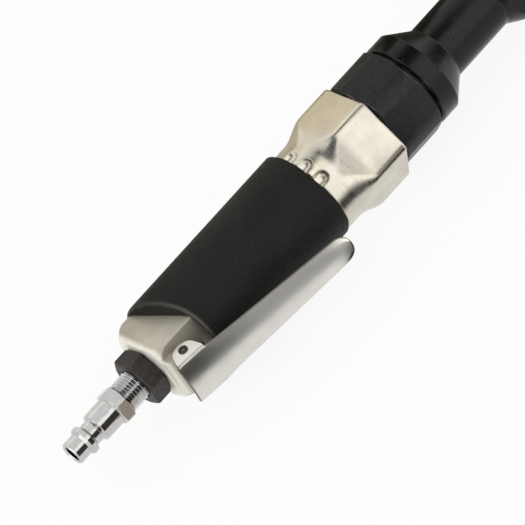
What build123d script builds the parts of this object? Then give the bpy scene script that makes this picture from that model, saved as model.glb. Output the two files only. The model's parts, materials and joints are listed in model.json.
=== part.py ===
from build123d import *
import os
from math import acos, atan2, cos, hypot, pi, radians, sin, tan

# Air ratchet wrench, in millimetres and degrees. The origin is the middle of the air plug's mouth.
# X runs forward along the tool to the ratchet head, Z is up, the throttle lever is on the -Y side
# and the square drive points to +Y. Angles round the tool are counted from +Z towards -Y.

# Clearances
FIT_GAP = 0.05          # radial, pieces screwed or pressed together
RUN_GAP = 0.05          # radial, pieces that turn or slide in each other
FACE_GAP = 0.05         # between stacked faces that stay together
END_GAP = 0.3           # between faces that move past each other
SKIN_GAP = 0.3          # rubber sleeve to metal

# Hexagons turned from bar
HEX_CHAMFER = 30.0
HEX_FACE_INSET = 0.4

# Air plug
PLUG_TIP_D = 9.9
PLUG_TIP_LENGTH = 6.0
PLUG_RIB_D = 12.3
PLUG_RIB_LENGTH = 3.0
PLUG_GROOVE_D = 9.4
PLUG_GROOVE_LENGTH = 4.0
PLUG_BODY_D = 12.4
PLUG_BODY_LENGTH = 9.2
PLUG_HEX_AF = 14.0
PLUG_HEX_CORNER_D = 16.0
PLUG_HEX_LENGTH = 5.5
PLUG_HEX_ANGLE = -5.0
PLUG_BORE_D = 7.2
PLUG_EDGE = 0.6
THREAD_D = 13.16
THREAD_PITCH = 1.337
THREAD_DEPTH = 0.75
THREAD_SHOWN = 8.0
THREAD_TURNS = 10

# Inlet bush and its filter disc
BUSH_HEX_AF = 19.8
BUSH_HEX_CORNER_D = 22.6
BUSH_HEX_LENGTH = 8.0
BUSH_HEX_ANGLE = 20.0
BUSH_THREAD_D = 16.0
BUSH_THREAD_LENGTH = 7.0
BUSH_BORE_D = 8.0
SCREEN_D = 11.0
SCREEN_THICK = 0.8
SCREEN_HOLE_D = 1.0
SCREEN_HOLE_PITCH = 1.8

# Housing: square tail, barrel under the sleeve, waist and hexagon flare
TAIL_AF = 26.5
TAIL_STEP = 1.6
TAIL_LENGTH = 24.5
TAIL_EDGE_R = 1.0
TAIL_DOME_R = 6.5
BARREL_D = 34.0
WAIST_D = 37.8
WAIST_LENGTH = 7.3
FLARE_AF = 40.0
FLARE_CORNER_R = 4.0
FLARE_RAMP = 11.0
FLARE_LENGTH = 15.6
FLARE_CORNER_ANGLE = 30.0
FLARE_EDGE_R = 1.2
FLARE_STEPS = 6
WAIST_FLAT = 0.4
FLARE_SHIFT = 0.8
FLARE_SHIFT_ANGLE = 140.0

# Exhaust flutes round the waist
FLUTE_ANGLES = (1.0, 25.0, 49.0)
FLUTE_R = 3.0
FLUTE_FLOOR_R = 16.6
FLUTE_REACH = 5.3
EXHAUST_PORT_D = 4.0
EXHAUST_SETBACK = 18.0

# Grip sleeve
SLEEVE_WALL = 3.0
SLEEVE_SETBACK = 9.5
SLEEVE_LENGTH = 80.9
SLEEVE_EDGE = 0.8
SLEEVE_TAPER = 4.0
SLEEVE_TAPER_DROP = 0.9
SCOOP_R = 28.0
SCOOP_BACK = 7.6
SCOOP_SIDE = 18.5
SLEEVE_SLANT = 21.8

# Throttle lever and its pin
PIVOT_SETBACK = 8.2
LUG_HEIGHT = 5.85
LUG_R = 3.0
LUG_WIDTH = 16.8
LUG_SETBACK = 0.5
LUG_HEEL_R = 5.0
LEVER_OPEN = 9.2
LEVER_SHEET = 1.5
LEVER_CROWN = 7.35
LEVER_CROWN_R = 25.0
LEVER_LENGTH = 73.0
LEVER_ROOT_WIDTH = 18.4
LEVER_TIP_WIDTH = 12.4
LEVER_TIP_R = 5.2
EAR_BACK = 6.9
EAR_FRONT = 7.2
EAR_TOP = 8.0
EAR_DEPTH = 4.6
EAR_CORNER_R = 5.0
EAR_BEND_R = 2.0
PIN_D = 3.85
PIN_PROUD = 0.4
PIN_WALL = 1.3
PIN_SLIT = 0.6

# Throttle valve, along Y
VALVE_ARM = 8.3
VALVE_BORE_D = 12.1
SEAT_TOP = -4.5
SEAT_THICK = 3.0
SEAT_BORE_D = 6.4
THROAT_D = 8.4
THROAT_DEPTH = 3.2
STEM_D = 3.8
STEM_REST = 0.25
DISC_D = 9.2
DISC_THICK = 1.8
STEM_FLANGE_D = 8.0
STEM_FLANGE_THICK = 1.5
STEM_TAIL_D = 3.4
STEM_TAIL_LENGTH = 3.0
VALVE_SPRING_D = 7.0
VALVE_SPRING_WIRE = 0.9
CAP_DEPTH = 6.2
CAP_HEAD_D = 15.6
CAP_HEAD_THICK = 2.5
CAP_SOCKET_AF = 6.0
CAP_SOCKET_DEPTH = 4.0
O_RING_CORD = 1.1
STEM_RING_CORD = 1.0
AIRWAY_D = 8.0
AIRWAY_HEIGHT = 2.8
AIRWAY_WIDTH = 8.0

# Vane motor
MOTOR_SETBACK = 22.5
MOTOR_BORE_D = 29.0
MANIFOLD_D = 25.0
MANIFOLD_LENGTH = 6.0
END_PLATE_LENGTH = 10.0
CYLINDER_LENGTH = 44.0
CYLINDER_BORE_D = 23.8
ROTOR_D = 21.2
ROTOR_SHAFT_D = 7.0
SHAFT_HOLE_D = 8.4
PINION_SHAFT_D = 5.0
BLADE_COUNT = 5
BLADE_THICK = 1.5
BLADE_HEIGHT = 6.0
BLADE_SINK = 0.15
DOWEL_D = 2.0
DOWEL_R = 12.6
INLET_PORT_D = 2.2
INLET_PORT_ANGLE = 25.0

# Ball bearings on the rotor
BEARING_D = 19.0
BEARING_WIDTH = 6.0
BALL_D = 2.9
BALL_COUNT = 7
RACE_SHOULDER = 0.9

# Gear case
CASE_WALL = 2.7
CASE_CORNER = 1.2
CASE_LENGTH = 20.8
CASE_CORNER_ANGLE = 44.5
CASE_THREAD_D = 31.8
CASE_BORE_D = 25.0
CASE_LIP = 1.0

# Planetary gears
MODULE = 0.8
SUN_TEETH = 12
PLANET_TEETH = 12
PLANET_COUNT = 3
ADDENDUM = 0.55
DEDENDUM = 0.85
BACKLASH = 0.2
PRESSURE_ANGLE = 20.0
GEAR_LENGTH = 8.7
RING_LENGTH = 10.4
RING_WALL = 1.4
PLANET_PIN_D = 3.0
CARRIER_D = 25.6
CARRIER_THICK = 5.0

# Crankshaft
CRANK_D = 13.0
CRANK_BUSH_D = 18.0
CRANK_BUSH_LENGTH = 12.0
CRANK_THROW = 1.3
CRANK_PIN_D = 3.6
CRANK_PIN_LENGTH = 10.0
DRIVE_BUSH_D = 5.6
DRIVE_BUSH_LENGTH = 7.5
DRIVE_BUSH_EDGE = 1.0

# Ratchet head
HEAD_GROOVE_D = 34.8
HEAD_GROOVE_LENGTH = 1.4
COLLAR_D = 38.8
COLLAR_LENGTH = 8.2
COLLAR_EDGE = 0.7
CONE_LENGTH = 9.6
NECK_D = 24.8
EYE_REACH = 83.2
EYE_RIM = 0.9
EYE_THICK = 28.0
EYE_EDGE_R = 2.2
HEAD_SHOULDER = 37.0
HEAD_SHOULDER_WIDTH = 22.0
HEAD_SPREAD = 35.0

# Yoke
YOKE_ARM = 36.0
YOKE_D = 39.2
YOKE_THICK = 12.0
YOKE_TAIL_THICK = 9.0
YOKE_TAIL_SETBACK = 2.0
YOKE_PRONG = 2.2
YOKE_SLOT_END = 23.5
YOKE_TEETH = 72
YOKE_TIP_D = 26.4
YOKE_TOOTH = 0.8
YOKE_SWING = 2.5

# Anvil, square drive and socket ball
DRUM_D = 25.4
JOURNAL_D = 20.0
DRUM_PROUD = 0.3
SQUARE = 12.7
SQUARE_LENGTH = 16.0
SQUARE_EDGE = 1.0
SOCKET_BALL_D = 4.6
SOCKET_BALL_PROUD = 0.9
SOCKET_BALL_SETBACK = 6.5
SOCKET_HOLE_FLOOR = 1.0
SOCKET_SPRING_WIRE = 0.5
WASHER_D = 26.0
WASHER_THICK = 1.0
CIRCLIP_D = 23.6
CIRCLIP_THICK = 1.0
CIRCLIP_BITE = 0.7
CIRCLIP_GAP = 6.0

# Pawl and reverse knob
POCKET_X = 4.6
POCKET_HALF = 4.6
PAWL_R = 12.0
PAWL_BACK = 6.4
PAWL_HALF = 8.6
PAWL_PIVOT = 9.4
PAWL_PIN_D = 2.4
PAWL_PIN_DEPTH = 3.4
PAWL_ROCK = 16.0
KNOB_SWING = 50.0
KNOB_STEM_D = 8.0
KNOB_D = 19.0
KNOB_THICK = 3.0
KNOB_GRIP_WIDTH = 5.0
KNOB_GRIP_HEIGHT = 2.6
KNOB_SCALLOPS = 12
KNOB_SCALLOP_D = 3.0
PLUNGER_D = 2.4
PLUNGER_TIP = 5.8
PLUNGER_LENGTH = 3.4
PLUNGER_SPRING_WIRE = 0.4

# Stations along X
RIB_X = PLUG_TIP_LENGTH
GROOVE_X = RIB_X + PLUG_RIB_LENGTH
BODY_X = GROOVE_X + PLUG_GROOVE_LENGTH
PLUG_HEX_X = BODY_X + PLUG_BODY_LENGTH
THREAD_X = PLUG_HEX_X + PLUG_HEX_LENGTH
THREAD_END = THREAD_X + THREAD_PITCH * THREAD_TURNS
BUSH_X = THREAD_X + THREAD_SHOWN
BUSH_FACE_X = BUSH_X + BUSH_HEX_LENGTH
BUSH_END = BUSH_FACE_X + BUSH_THREAD_LENGTH
TAIL_X = BUSH_FACE_X + FACE_GAP
BARREL_X = TAIL_X + TAIL_LENGTH
PIVOT_X = TAIL_X + PIVOT_SETBACK
VALVE_X = PIVOT_X + VALVE_ARM
SLEEVE_X = TAIL_X + SLEEVE_SETBACK
SLEEVE_END = SLEEVE_X + SLEEVE_LENGTH
WAIST_X = SLEEVE_END + SKIN_GAP
FLARE_X = WAIST_X + WAIST_LENGTH
FLARE_FULL_X = FLARE_X + FLARE_RAMP
HOUSING_END = FLARE_FULL_X + FLARE_LENGTH
MOTOR_X = BARREL_X + MOTOR_SETBACK
REAR_PLATE_END = MOTOR_X + END_PLATE_LENGTH
FRONT_PLATE_X = REAR_PLATE_END + CYLINDER_LENGTH
MOTOR_END = FRONT_PLATE_X + END_PLATE_LENGTH
EXHAUST_X = REAR_PLATE_END + EXHAUST_SETBACK
CASE_X = HOUSING_END + FACE_GAP
CASE_END = CASE_X + CASE_LENGTH
RING_X = CASE_X + CASE_LIP
RING_END = RING_X + RING_LENGTH
GEAR_X = RING_X + END_GAP
GEAR_END = GEAR_X + GEAR_LENGTH
CARRIER_X = GEAR_END + END_GAP
CARRIER_END = CARRIER_X + CARRIER_THICK
HEAD_X = RING_END + FACE_GAP
GROOVE_END = CASE_END + HEAD_GROOVE_LENGTH
COLLAR_END = GROOVE_END + COLLAR_LENGTH
NECK_X = COLLAR_END + CONE_LENGTH
EYE_X = GROOVE_END + EYE_REACH
CRANK_PIN_X = EYE_X - YOKE_ARM

# Places across the tool
TAIL_CORNER_D = BARREL_D + 2 * TAIL_STEP
SLEEVE_D = BARREL_D + 2 * SKIN_GAP + 2 * SLEEVE_WALL
PIVOT_Y = -TAIL_AF / 2 - LUG_HEIGHT
CAP_Y = TAIL_AF / 2 - CAP_DEPTH
SEAT_BOTTOM = SEAT_TOP - SEAT_THICK
THROAT_BOTTOM = SEAT_BOTTOM - THROAT_DEPTH
STEM_RING_Y = (THROAT_BOTTOM - TAIL_AF / 2) / 2
FLANGE_Y = SEAT_TOP + FACE_GAP + DISC_THICK
SPRING_Y = FLANGE_Y + STEM_FLANGE_THICK
CYLINDER_OFFSET = (CYLINDER_BORE_D - ROTOR_D) / 2 - RUN_GAP
RACE_R = (BEARING_D + ROTOR_SHAFT_D) / 4
PLANET_R = MODULE * (SUN_TEETH + PLANET_TEETH) / 2
RING_TEETH = SUN_TEETH + 2 * PLANET_TEETH
RING_ROOT_D = MODULE * RING_TEETH + 2 * DEDENDUM
RING_D = RING_ROOT_D + 2 * RING_WALL
CASE_SEAT_D = RING_D + 2 * FIT_GAP
CASE_AF = CASE_SEAT_D + 2 * CASE_WALL
CASE_CORNER_D = CASE_AF + 2 * CASE_CORNER
EYE_D = YOKE_D + 2 * EYE_RIM
CHEEK_Y = EYE_THICK / 2
DRUM_BACK = -YOKE_THICK / 2
DRUM_FACE = CHEEK_Y + DRUM_PROUD
SQUARE_END = DRUM_FACE + SQUARE_LENGTH
WASHER_Y = -CHEEK_Y - FACE_GAP
CIRCLIP_Y = WASHER_Y - WASHER_THICK - FACE_GAP
JOURNAL_END = CIRCLIP_Y - CIRCLIP_THICK - CIRCLIP_BITE
KNOB_Y = JOURNAL_END - END_GAP
FORK_HALF = DRIVE_BUSH_D / 2 + 2 * CRANK_THROW + END_GAP
YOKE_TAIL_REACH = YOKE_ARM - YOKE_TAIL_SETBACK


def block(x0, x1, y0, y1, z0, z1):
    """Box between two corners."""
    return Pos((x0 + x1) / 2, (y0 + y1) / 2, (z0 + z1) / 2) * Box(x1 - x0, y1 - y0, z1 - z0)


def bar_x(d, x0, x1, y=0.0, z=0.0):
    """Round bar along X."""
    return Pos((x0 + x1) / 2, y, z) * Rot(0, 90, 0) * Cylinder(d / 2, x1 - x0)


def bar_y(d, y0, y1, x=0.0, z=0.0):
    """Round bar along Y."""
    return Pos(x, (y0 + y1) / 2, z) * Rot(90, 0, 0) * Cylinder(d / 2, y1 - y0)


def bar_z(d, z0, z1, x=0.0, y=0.0):
    """Round bar along Z."""
    return Pos(x, y, (z0 + z1) / 2) * Cylinder(d / 2, z1 - z0)


def tube_x(d, bore, x0, x1, y=0.0, z=0.0):
    """Tube along X."""
    return bar_x(d, x0, x1, y, z) - bar_x(bore, x0, x1, y, z)


def tube_y(d, bore, y0, y1, x=0.0, z=0.0):
    """Tube along Y."""
    return bar_y(d, y0, y1, x, z) - bar_y(bore, y0, y1, x, z)


def turned(points):
    """Solid of revolution about X through (x, radius) corners, closed along the axis."""
    outline = [(points[0][0], 0.0), *points, (points[-1][0], 0.0)]
    return revolve(make_face(Polyline(*outline, close=True)), Axis.X)


def turned_y(points, x):
    """The same along Y, with corners given as (y, radius)."""
    return Pos(x, 0, 0) * Rot(0, 0, 90) * turned(points)


def prism_x(sketch, x0, x1):
    """Sketch in the YZ plane carried from x0 to x1."""
    return extrude(Plane.YZ.offset(x0) * sketch, amount=x1 - x0)


def around_x(shape, angle):
    """Shape turned about the tool's axis, from +Z towards -Y."""
    return Rot(angle, 0, 0) * shape


def at_eye(shape, turn=0.0):
    """Shape made about the Y axis, turned by the right-hand rule and put at the head's eye."""
    return Pos(EYE_X, 0, 0) * Rot(0, turn, 0) * shape


def hex_bar(across_flats, corner_d, x0, x1, corner_angle=0.0):
    """Hexagon bar along X with its corners turned down and its ends chamfered."""
    outline = RegularPolygon(across_flats / 2, 6, major_radius=False, rotation=90 + corner_angle)
    face_r = across_flats / 2 - HEX_FACE_INSET
    depth = (corner_d / 2 - face_r) * tan(radians(HEX_CHAMFER))
    corner_r = corner_d / 2
    blank = turned([(x0, face_r), (x0 + depth, corner_r), (x1 - depth, corner_r), (x1, face_r)])
    return prism_x(outline, x0, x1) & blank


def toothed(teeth, tip_d, root_d, width, turn=0.0):
    """Outline of straight-sided teeth, each of the given width at the pitch circle."""
    pitch_d = MODULE * teeth
    slope = tan(radians(PRESSURE_ANGLE))
    corners = []
    for tooth in range(teeth):
        middle = radians(turn + 360 * tooth / teeth)
        for d, side in ((root_d, -1), (tip_d, -1), (tip_d, 1), (root_d, 1)):
            half = width / 2 + (pitch_d - d) / 2 * slope
            angle = middle + side * half / (d / 2)
            corners.append((d / 2 * cos(angle), d / 2 * sin(angle)))
    return make_face(Polyline(*corners, close=True))


def external_gear(teeth, turn=0.0):
    """Outline of a gear with outside teeth."""
    pitch_d = MODULE * teeth
    width = pi * MODULE / 2 - BACKLASH
    return toothed(teeth, pitch_d + 2 * ADDENDUM, pitch_d - 2 * DEDENDUM, width, turn)


def inlet_plug():
    """Coupling plug: tip, locking rib, groove, body, hexagon and threaded end, bored through."""
    tip_r = PLUG_TIP_D / 2
    rib_r = PLUG_RIB_D / 2
    groove_r = PLUG_GROOVE_D / 2
    body_r = PLUG_BODY_D / 2
    profile = [
        (0, tip_r - PLUG_EDGE), (PLUG_EDGE, tip_r),
        (RIB_X - PLUG_EDGE, tip_r), (RIB_X, rib_r - PLUG_EDGE), (RIB_X + PLUG_EDGE, rib_r),
        (GROOVE_X - PLUG_EDGE, rib_r), (GROOVE_X + PLUG_EDGE, groove_r),
        (BODY_X - PLUG_EDGE, groove_r), (BODY_X + PLUG_EDGE, body_r), (PLUG_HEX_X, body_r),
    ]
    plug = turned(profile) + inlet_thread()
    plug += hex_bar(PLUG_HEX_AF, PLUG_HEX_CORNER_D, PLUG_HEX_X, THREAD_X, PLUG_HEX_ANGLE)
    bore_r = PLUG_BORE_D / 2
    bore = turned([(0, bore_r + PLUG_EDGE), (PLUG_EDGE, bore_r), (THREAD_END, bore_r)])
    return plug - bore


def inlet_thread():
    """Thread ridges on the plug's front end."""
    crest = THREAD_D / 2
    root = crest - THREAD_DEPTH
    points = [(PLUG_HEX_X, root)]
    for turn in range(THREAD_TURNS):
        start = THREAD_X + turn * THREAD_PITCH
        points += [(start, root), (start + THREAD_PITCH / 2, crest)]
    points.append((THREAD_END, root))
    return turned(points)


def inlet_bush():
    """Hexagon bush with a threaded spigot, bored for the plug and the filter disc."""
    bush = hex_bar(BUSH_HEX_AF, BUSH_HEX_CORNER_D, BUSH_X, BUSH_FACE_X, BUSH_HEX_ANGLE)
    bush += bar_x(BUSH_THREAD_D, BUSH_FACE_X, BUSH_END)
    bush -= bar_x(THREAD_D + 2 * FIT_GAP, BUSH_X, THREAD_END + FACE_GAP)
    bush -= bar_x(SCREEN_D + 2 * FIT_GAP, THREAD_END, screen_end() + FACE_GAP)
    return bush - bar_x(BUSH_BORE_D, THREAD_END, BUSH_END)


def screen_end():
    """Front face of the filter disc, which sits on the plug's end."""
    return THREAD_END + 2 * FACE_GAP + SCREEN_THICK


def inlet_screen():
    """Filter disc with a centre hole and a ring of holes."""
    disc = bar_x(SCREEN_D, THREAD_END + 2 * FACE_GAP, screen_end())
    for place in HexLocations(SCREEN_HOLE_PITCH / 2, 3, 3):
        disc -= bar_x(SCREEN_HOLE_D, THREAD_END, screen_end(), place.position.X, place.position.Y)
    return disc


def housing_tail():
    """Square tail whose rear edges are rounded and whose corners are turned to a dome."""
    length = TAIL_LENGTH
    plan = Pos(TAIL_X + length / 2, 0) * Rectangle(length, TAIL_AF)
    plan = fillet(plan.vertices().sort_by(Axis.X)[:2], TAIL_EDGE_R)
    upright = extrude(plan, amount=TAIL_AF, both=True)
    corner_r = TAIL_CORNER_D / 2
    dome_x = TAIL_X + TAIL_DOME_R
    edge = [
        (dome_x, corner_r), (BARREL_X, corner_r), (BARREL_X, 0),
        (TAIL_X, 0), (TAIL_X, corner_r - TAIL_DOME_R),
    ]
    arc = CenterArc((dome_x, corner_r - TAIL_DOME_R), TAIL_DOME_R, 90, 90)
    dome = revolve(make_face([*Polyline(*edge).edges(), *arc.edges()]), Axis.X)
    return upright & (Rot(90, 0, 0) * upright) & dome


def flare_section(share):
    """Outline of the flare: all but a circle at the waist, a hexagon with rounded corners at the rim."""
    ease = share * share * (3 - 2 * share)
    across = WAIST_D + (FLARE_AF - WAIST_D) * ease
    waist_r = WAIST_D / 2 - WAIST_FLAT
    corner_r = waist_r + (FLARE_CORNER_R - waist_r) * ease
    outline = RegularPolygon(across / 2, 6, major_radius=False, rotation=90 + FLARE_CORNER_ANGLE)
    return Plane.YZ.offset(FLARE_X + FLARE_RAMP * share) * fillet(outline.vertices(), corner_r)


def housing_flare():
    """Waist that swells in an S curve into a soft hexagon, a little off the tool's axis."""
    waist = extrude(flare_section(0), amount=-WAIST_LENGTH)
    swell = loft([flare_section(step / FLARE_STEPS) for step in range(FLARE_STEPS + 1)])
    rim = extrude(flare_section(1), amount=FLARE_LENGTH)
    rim = fillet(rim.faces().sort_by(Axis.X)[-1].outer_wire().edges(), FLARE_EDGE_R)
    flare = around_x(waist + swell + rim, -FLARE_SHIFT_ANGLE)
    return around_x(Pos(0, 0, FLARE_SHIFT) * flare, FLARE_SHIFT_ANGLE)


def lever_lug():
    """Lug on the tail's side that carries the lever pin between the ears, with a round heel at the rear."""
    half = LUG_WIDTH / 2
    root = block(TAIL_X + LUG_SETBACK, PIVOT_X + LUG_R, PIVOT_Y, -TAIL_AF / 2 + LUG_R, -half, half)
    heel = root.edges().filter_by(Axis.Z).sort_by(Axis.Y)[:2].sort_by(Axis.X)[0]
    return fillet(heel, LUG_HEEL_R) + bar_z(2 * LUG_R, -half, half, PIVOT_X, PIVOT_Y)


def exhaust_flute(angle):
    """Round-bottomed flute from an exhaust port forward into the waist, with round ends."""
    middle_r = FLUTE_FLOOR_R + FLUTE_R
    end = WAIST_X + FLUTE_REACH - FLUTE_R
    flute = bar_x(2 * FLUTE_R, EXHAUST_X, end, 0, middle_r)
    for x in (EXHAUST_X, end):
        flute += Pos(x, 0, middle_r) * Sphere(FLUTE_R)
    port = bar_z(EXHAUST_PORT_D, MOTOR_BORE_D / 4, middle_r, EXHAUST_X)
    return around_x(flute + port, angle)


def valve_cavity():
    """Bores of the throttle valve and the airways to and from it."""
    cavity = bar_y(VALVE_BORE_D, SEAT_BOTTOM, TAIL_AF, VALVE_X)
    cavity += bar_y(THROAT_D, THROAT_BOTTOM, SEAT_TOP, VALVE_X)
    cavity += bar_y(STEM_D + 2 * RUN_GAP, -TAIL_AF, THROAT_BOTTOM, VALVE_X)
    groove = STEM_RING_CORD / 2 + FIT_GAP
    groove_d = STEM_D + 2 * STEM_RING_CORD + 4 * RUN_GAP
    cavity += bar_y(groove_d, STEM_RING_Y - groove, STEM_RING_Y + groove, VALVE_X)
    cavity += bar_x(AIRWAY_D, BUSH_END, VALVE_X)
    low = (THROAT_BOTTOM + SEAT_BOTTOM - AIRWAY_HEIGHT) / 2
    half = AIRWAY_WIDTH / 2
    manifold_x = MOTOR_X - MANIFOLD_LENGTH
    cavity += block(VALVE_X, manifold_x + FACE_GAP, low, low + AIRWAY_HEIGHT, -half, half)
    return cavity + bar_x(MANIFOLD_D, manifold_x, MOTOR_X)


def housing():
    """Motor housing in one casting."""
    body = housing_tail() + bar_x(BARREL_D, BARREL_X, WAIST_X) + housing_flare() + lever_lug()
    body -= bar_x(BUSH_THREAD_D + 2 * FIT_GAP, TAIL_X, BUSH_END + FACE_GAP)
    body -= valve_cavity()
    body -= bar_x(MOTOR_BORE_D, MOTOR_X, MOTOR_END)
    body -= bar_x(CASE_THREAD_D + 2 * FIT_GAP, MOTOR_END, HOUSING_END)
    body -= bar_z(PIN_D + 2 * FIT_GAP, -LUG_WIDTH, LUG_WIDTH, PIVOT_X, PIVOT_Y)
    for angle in FLUTE_ANGLES:
        body -= exhaust_flute(angle)
    return body


def grip_sleeve():
    """Rubber sleeve on the tail's flats, cut on a slant that ends in a scoop where the lever hinges."""
    r = SLEEVE_D / 2
    step_x = BARREL_X + SKIN_GAP
    sleeve = turned([
        (SLEEVE_X, r - SLEEVE_TAPER_DROP), (SLEEVE_X + SLEEVE_TAPER, r),
        (SLEEVE_END - SLEEVE_EDGE, r), (SLEEVE_END, r - SLEEVE_EDGE),
    ])
    flat = TAIL_AF / 2 + SKIN_GAP
    slab = block(SLEEVE_X, step_x, -SLEEVE_D, SLEEVE_D, -flat, flat)
    sleeve -= slab & bar_x(TAIL_CORNER_D + SKIN_GAP, SLEEVE_X, step_x)
    sleeve -= bar_x(BARREL_D + 2 * SKIN_GAP, BARREL_X - SKIN_GAP, SLEEVE_END)
    scoop = bar_z(2 * SCOOP_R, -SLEEVE_D, SLEEVE_D)
    slant = block(-SLEEVE_LENGTH, SCOOP_R, 0, SLEEVE_LENGTH, -SLEEVE_D, SLEEVE_D)
    scoop += Rot(0, 0, SLEEVE_SLANT) * slant
    return sleeve - Pos(TAIL_X - SCOOP_BACK, -SCOOP_SIDE, 0) * scoop


def lever_shell(x0, x1, depth):
    """Round bar of the lever's crown, sunk by a depth: the skin lies between two of them."""
    return bar_x(2 * (LEVER_CROWN_R - depth), x0, x1, LEVER_CROWN_R - LEVER_CROWN)


def lever_ears():
    """Bent-up end of the lever: a crowned top between two rounded ears."""
    half = LUG_WIDTH / 2 + END_GAP + LEVER_SHEET
    inner = half - LEVER_SHEET
    outside = block(-EAR_BACK, EAR_FRONT, -LEVER_CROWN_R, EAR_DEPTH, -half, half)
    outside &= lever_shell(-EAR_BACK, EAR_FRONT, 0)
    bends = outside.edges().filter_by(Axis.X).group_by(Axis.Y)[0]
    outside = fillet(bends, EAR_BEND_R)
    inside = block(-EAR_BACK, EAR_FRONT, -LEVER_CROWN_R, EAR_DEPTH, -inner, inner)
    inside &= lever_shell(-EAR_BACK, EAR_FRONT, LEVER_SHEET)
    top = EAR_TOP / 2
    outline = make_face(Polyline(
        (EAR_FRONT, -LEVER_CROWN_R), (EAR_FRONT, -LEVER_CROWN), (top, EAR_DEPTH),
        (-top, EAR_DEPTH), (-EAR_BACK, -LEVER_CROWN), (-EAR_BACK, -LEVER_CROWN_R), close=True,
    ))
    outline = fillet(outline.vertices().group_by(Axis.Y)[-1], EAR_CORNER_R)
    return (outside - inside) & extrude(outline, amount=2 * half, both=True)


def lever():
    """Pressed lever: crowned tongue and hinge ears, standing open from the sleeve."""
    start = EAR_FRONT - LEVER_SHEET
    end = LEVER_LENGTH
    root = LEVER_ROOT_WIDTH / 2
    tip = LEVER_TIP_WIDTH / 2
    outline = make_face(Polyline((start, -root), (end, -tip), (end, tip), (start, root), close=True))
    outline = fillet(outline.vertices().group_by(Axis.X)[-1], LEVER_TIP_R)
    tongue = extrude(Plane.XZ * outline, amount=LEVER_CROWN_R, both=True)
    tongue &= lever_shell(start, end, 0) - lever_shell(start, end, LEVER_SHEET)
    tongue = tongue.solids().sort_by(Axis.Y)[0]
    body = lever_ears() + tongue
    body -= bar_z(PIN_D + 2 * RUN_GAP, -LUG_WIDTH, LUG_WIDTH)
    return Pos(PIVOT_X, PIVOT_Y, 0) * Rot(0, 0, -LEVER_OPEN) * body


def lever_pin():
    """Slotted spring pin that stands proud of both ears."""
    half = LUG_WIDTH / 2 + END_GAP + LEVER_SHEET + PIN_PROUD
    pin = bar_z(PIN_D, -half, half) - bar_z(PIN_D - 2 * PIN_WALL, -half, half)
    pin -= block(0, PIN_D, -PIN_SLIT / 2, PIN_SLIT / 2, -half, half)
    return Pos(PIVOT_X, PIVOT_Y, 0) * pin


def lever_touch():
    """Y of the lever's inner face where it meets the valve stem, with the lever open."""
    turn = radians(LEVER_OPEN)
    inner = LEVER_CROWN - LEVER_SHEET
    along = (VALVE_ARM + inner * sin(turn)) / cos(turn)
    return PIVOT_Y - inner * cos(turn) - along * sin(turn)


def valve_stem():
    """Stem from the lever to the flange that holds the valve disc, with a tail for the spring."""
    stem_r = STEM_D / 2
    tip = lever_touch() + STEM_REST + stem_r * tan(radians(LEVER_OPEN))
    flange_r = STEM_FLANGE_D / 2
    tail_r = STEM_TAIL_D / 2
    return turned_y([
        (tip, stem_r / 2), (tip + stem_r / 2, stem_r), (FLANGE_Y, stem_r), (FLANGE_Y, flange_r),
        (SPRING_Y, flange_r), (SPRING_Y, tail_r), (SPRING_Y + STEM_TAIL_LENGTH, tail_r),
    ], VALVE_X)


def valve_disc():
    """Sealing washer under the stem's flange."""
    return tube_y(DISC_D, STEM_D + 2 * FIT_GAP, SEAT_TOP + FACE_GAP, FLANGE_Y, VALVE_X)


def valve_seat():
    """Brass seat pressed into the valve bore."""
    return tube_y(VALVE_BORE_D - 2 * FIT_GAP, SEAT_BORE_D, SEAT_BOTTOM, SEAT_TOP, VALVE_X)


def valve_spring():
    """Envelope of the spring that closes the valve."""
    bore = VALVE_SPRING_D - 2 * VALVE_SPRING_WIRE
    return tube_y(VALVE_SPRING_D, bore, SPRING_Y + FACE_GAP, CAP_Y - FACE_GAP, VALVE_X)


def cap_groove_y():
    """Middle of the sealing groove in the valve cap."""
    return CAP_Y + 2 * O_RING_CORD


def valve_cap():
    """Screwed cap over the valve bore, with a hexagon socket and a sealing groove."""
    plug_r = VALVE_BORE_D / 2 - FIT_GAP
    face = TAIL_AF / 2 + FACE_GAP
    top = face + CAP_HEAD_THICK
    head_r = CAP_HEAD_D / 2
    cap = turned_y([(CAP_Y, plug_r), (face, plug_r), (face, head_r), (top, head_r)], VALVE_X)
    socket = RegularPolygon(CAP_SOCKET_AF / 2, 6, major_radius=False)
    cap -= Pos(VALVE_X, top, 0) * Rot(90, 0, 0) * extrude(socket, amount=CAP_SOCKET_DEPTH)
    groove = O_RING_CORD / 2 + FIT_GAP
    floor = VALVE_BORE_D - 2 * O_RING_CORD - 4 * FIT_GAP
    middle = cap_groove_y()
    return cap - tube_y(VALVE_BORE_D, floor, middle - groove, middle + groove, VALVE_X)


def o_ring(ring_d, cord, y):
    """Rubber ring round the valve's axis."""
    return Pos(VALVE_X, y, 0) * Rot(90, 0, 0) * Torus((ring_d - cord) / 2, cord / 2)


def valve_cap_o_ring():
    """Seal of the valve cap."""
    return o_ring(VALVE_BORE_D - 2 * FIT_GAP, O_RING_CORD, cap_groove_y())


def stem_o_ring():
    """Seal of the valve stem."""
    return o_ring(STEM_D + 2 * STEM_RING_CORD + 2 * RUN_GAP, STEM_RING_CORD, STEM_RING_Y)


def end_plate(x0, seat_x0):
    """Motor end plate with a bearing seat, a shaft hole and a dowel hole."""
    plate = tube_x(MOTOR_BORE_D - 2 * FIT_GAP, SHAFT_HOLE_D, x0, x0 + END_PLATE_LENGTH - FACE_GAP)
    plate -= bar_x(BEARING_D + 2 * FIT_GAP, seat_x0, seat_x0 + BEARING_WIDTH + FACE_GAP)
    return plate - bar_x(DOWEL_D + 2 * FIT_GAP, dowel_x0(), dowel_x1(), 0, -DOWEL_R)


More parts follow.
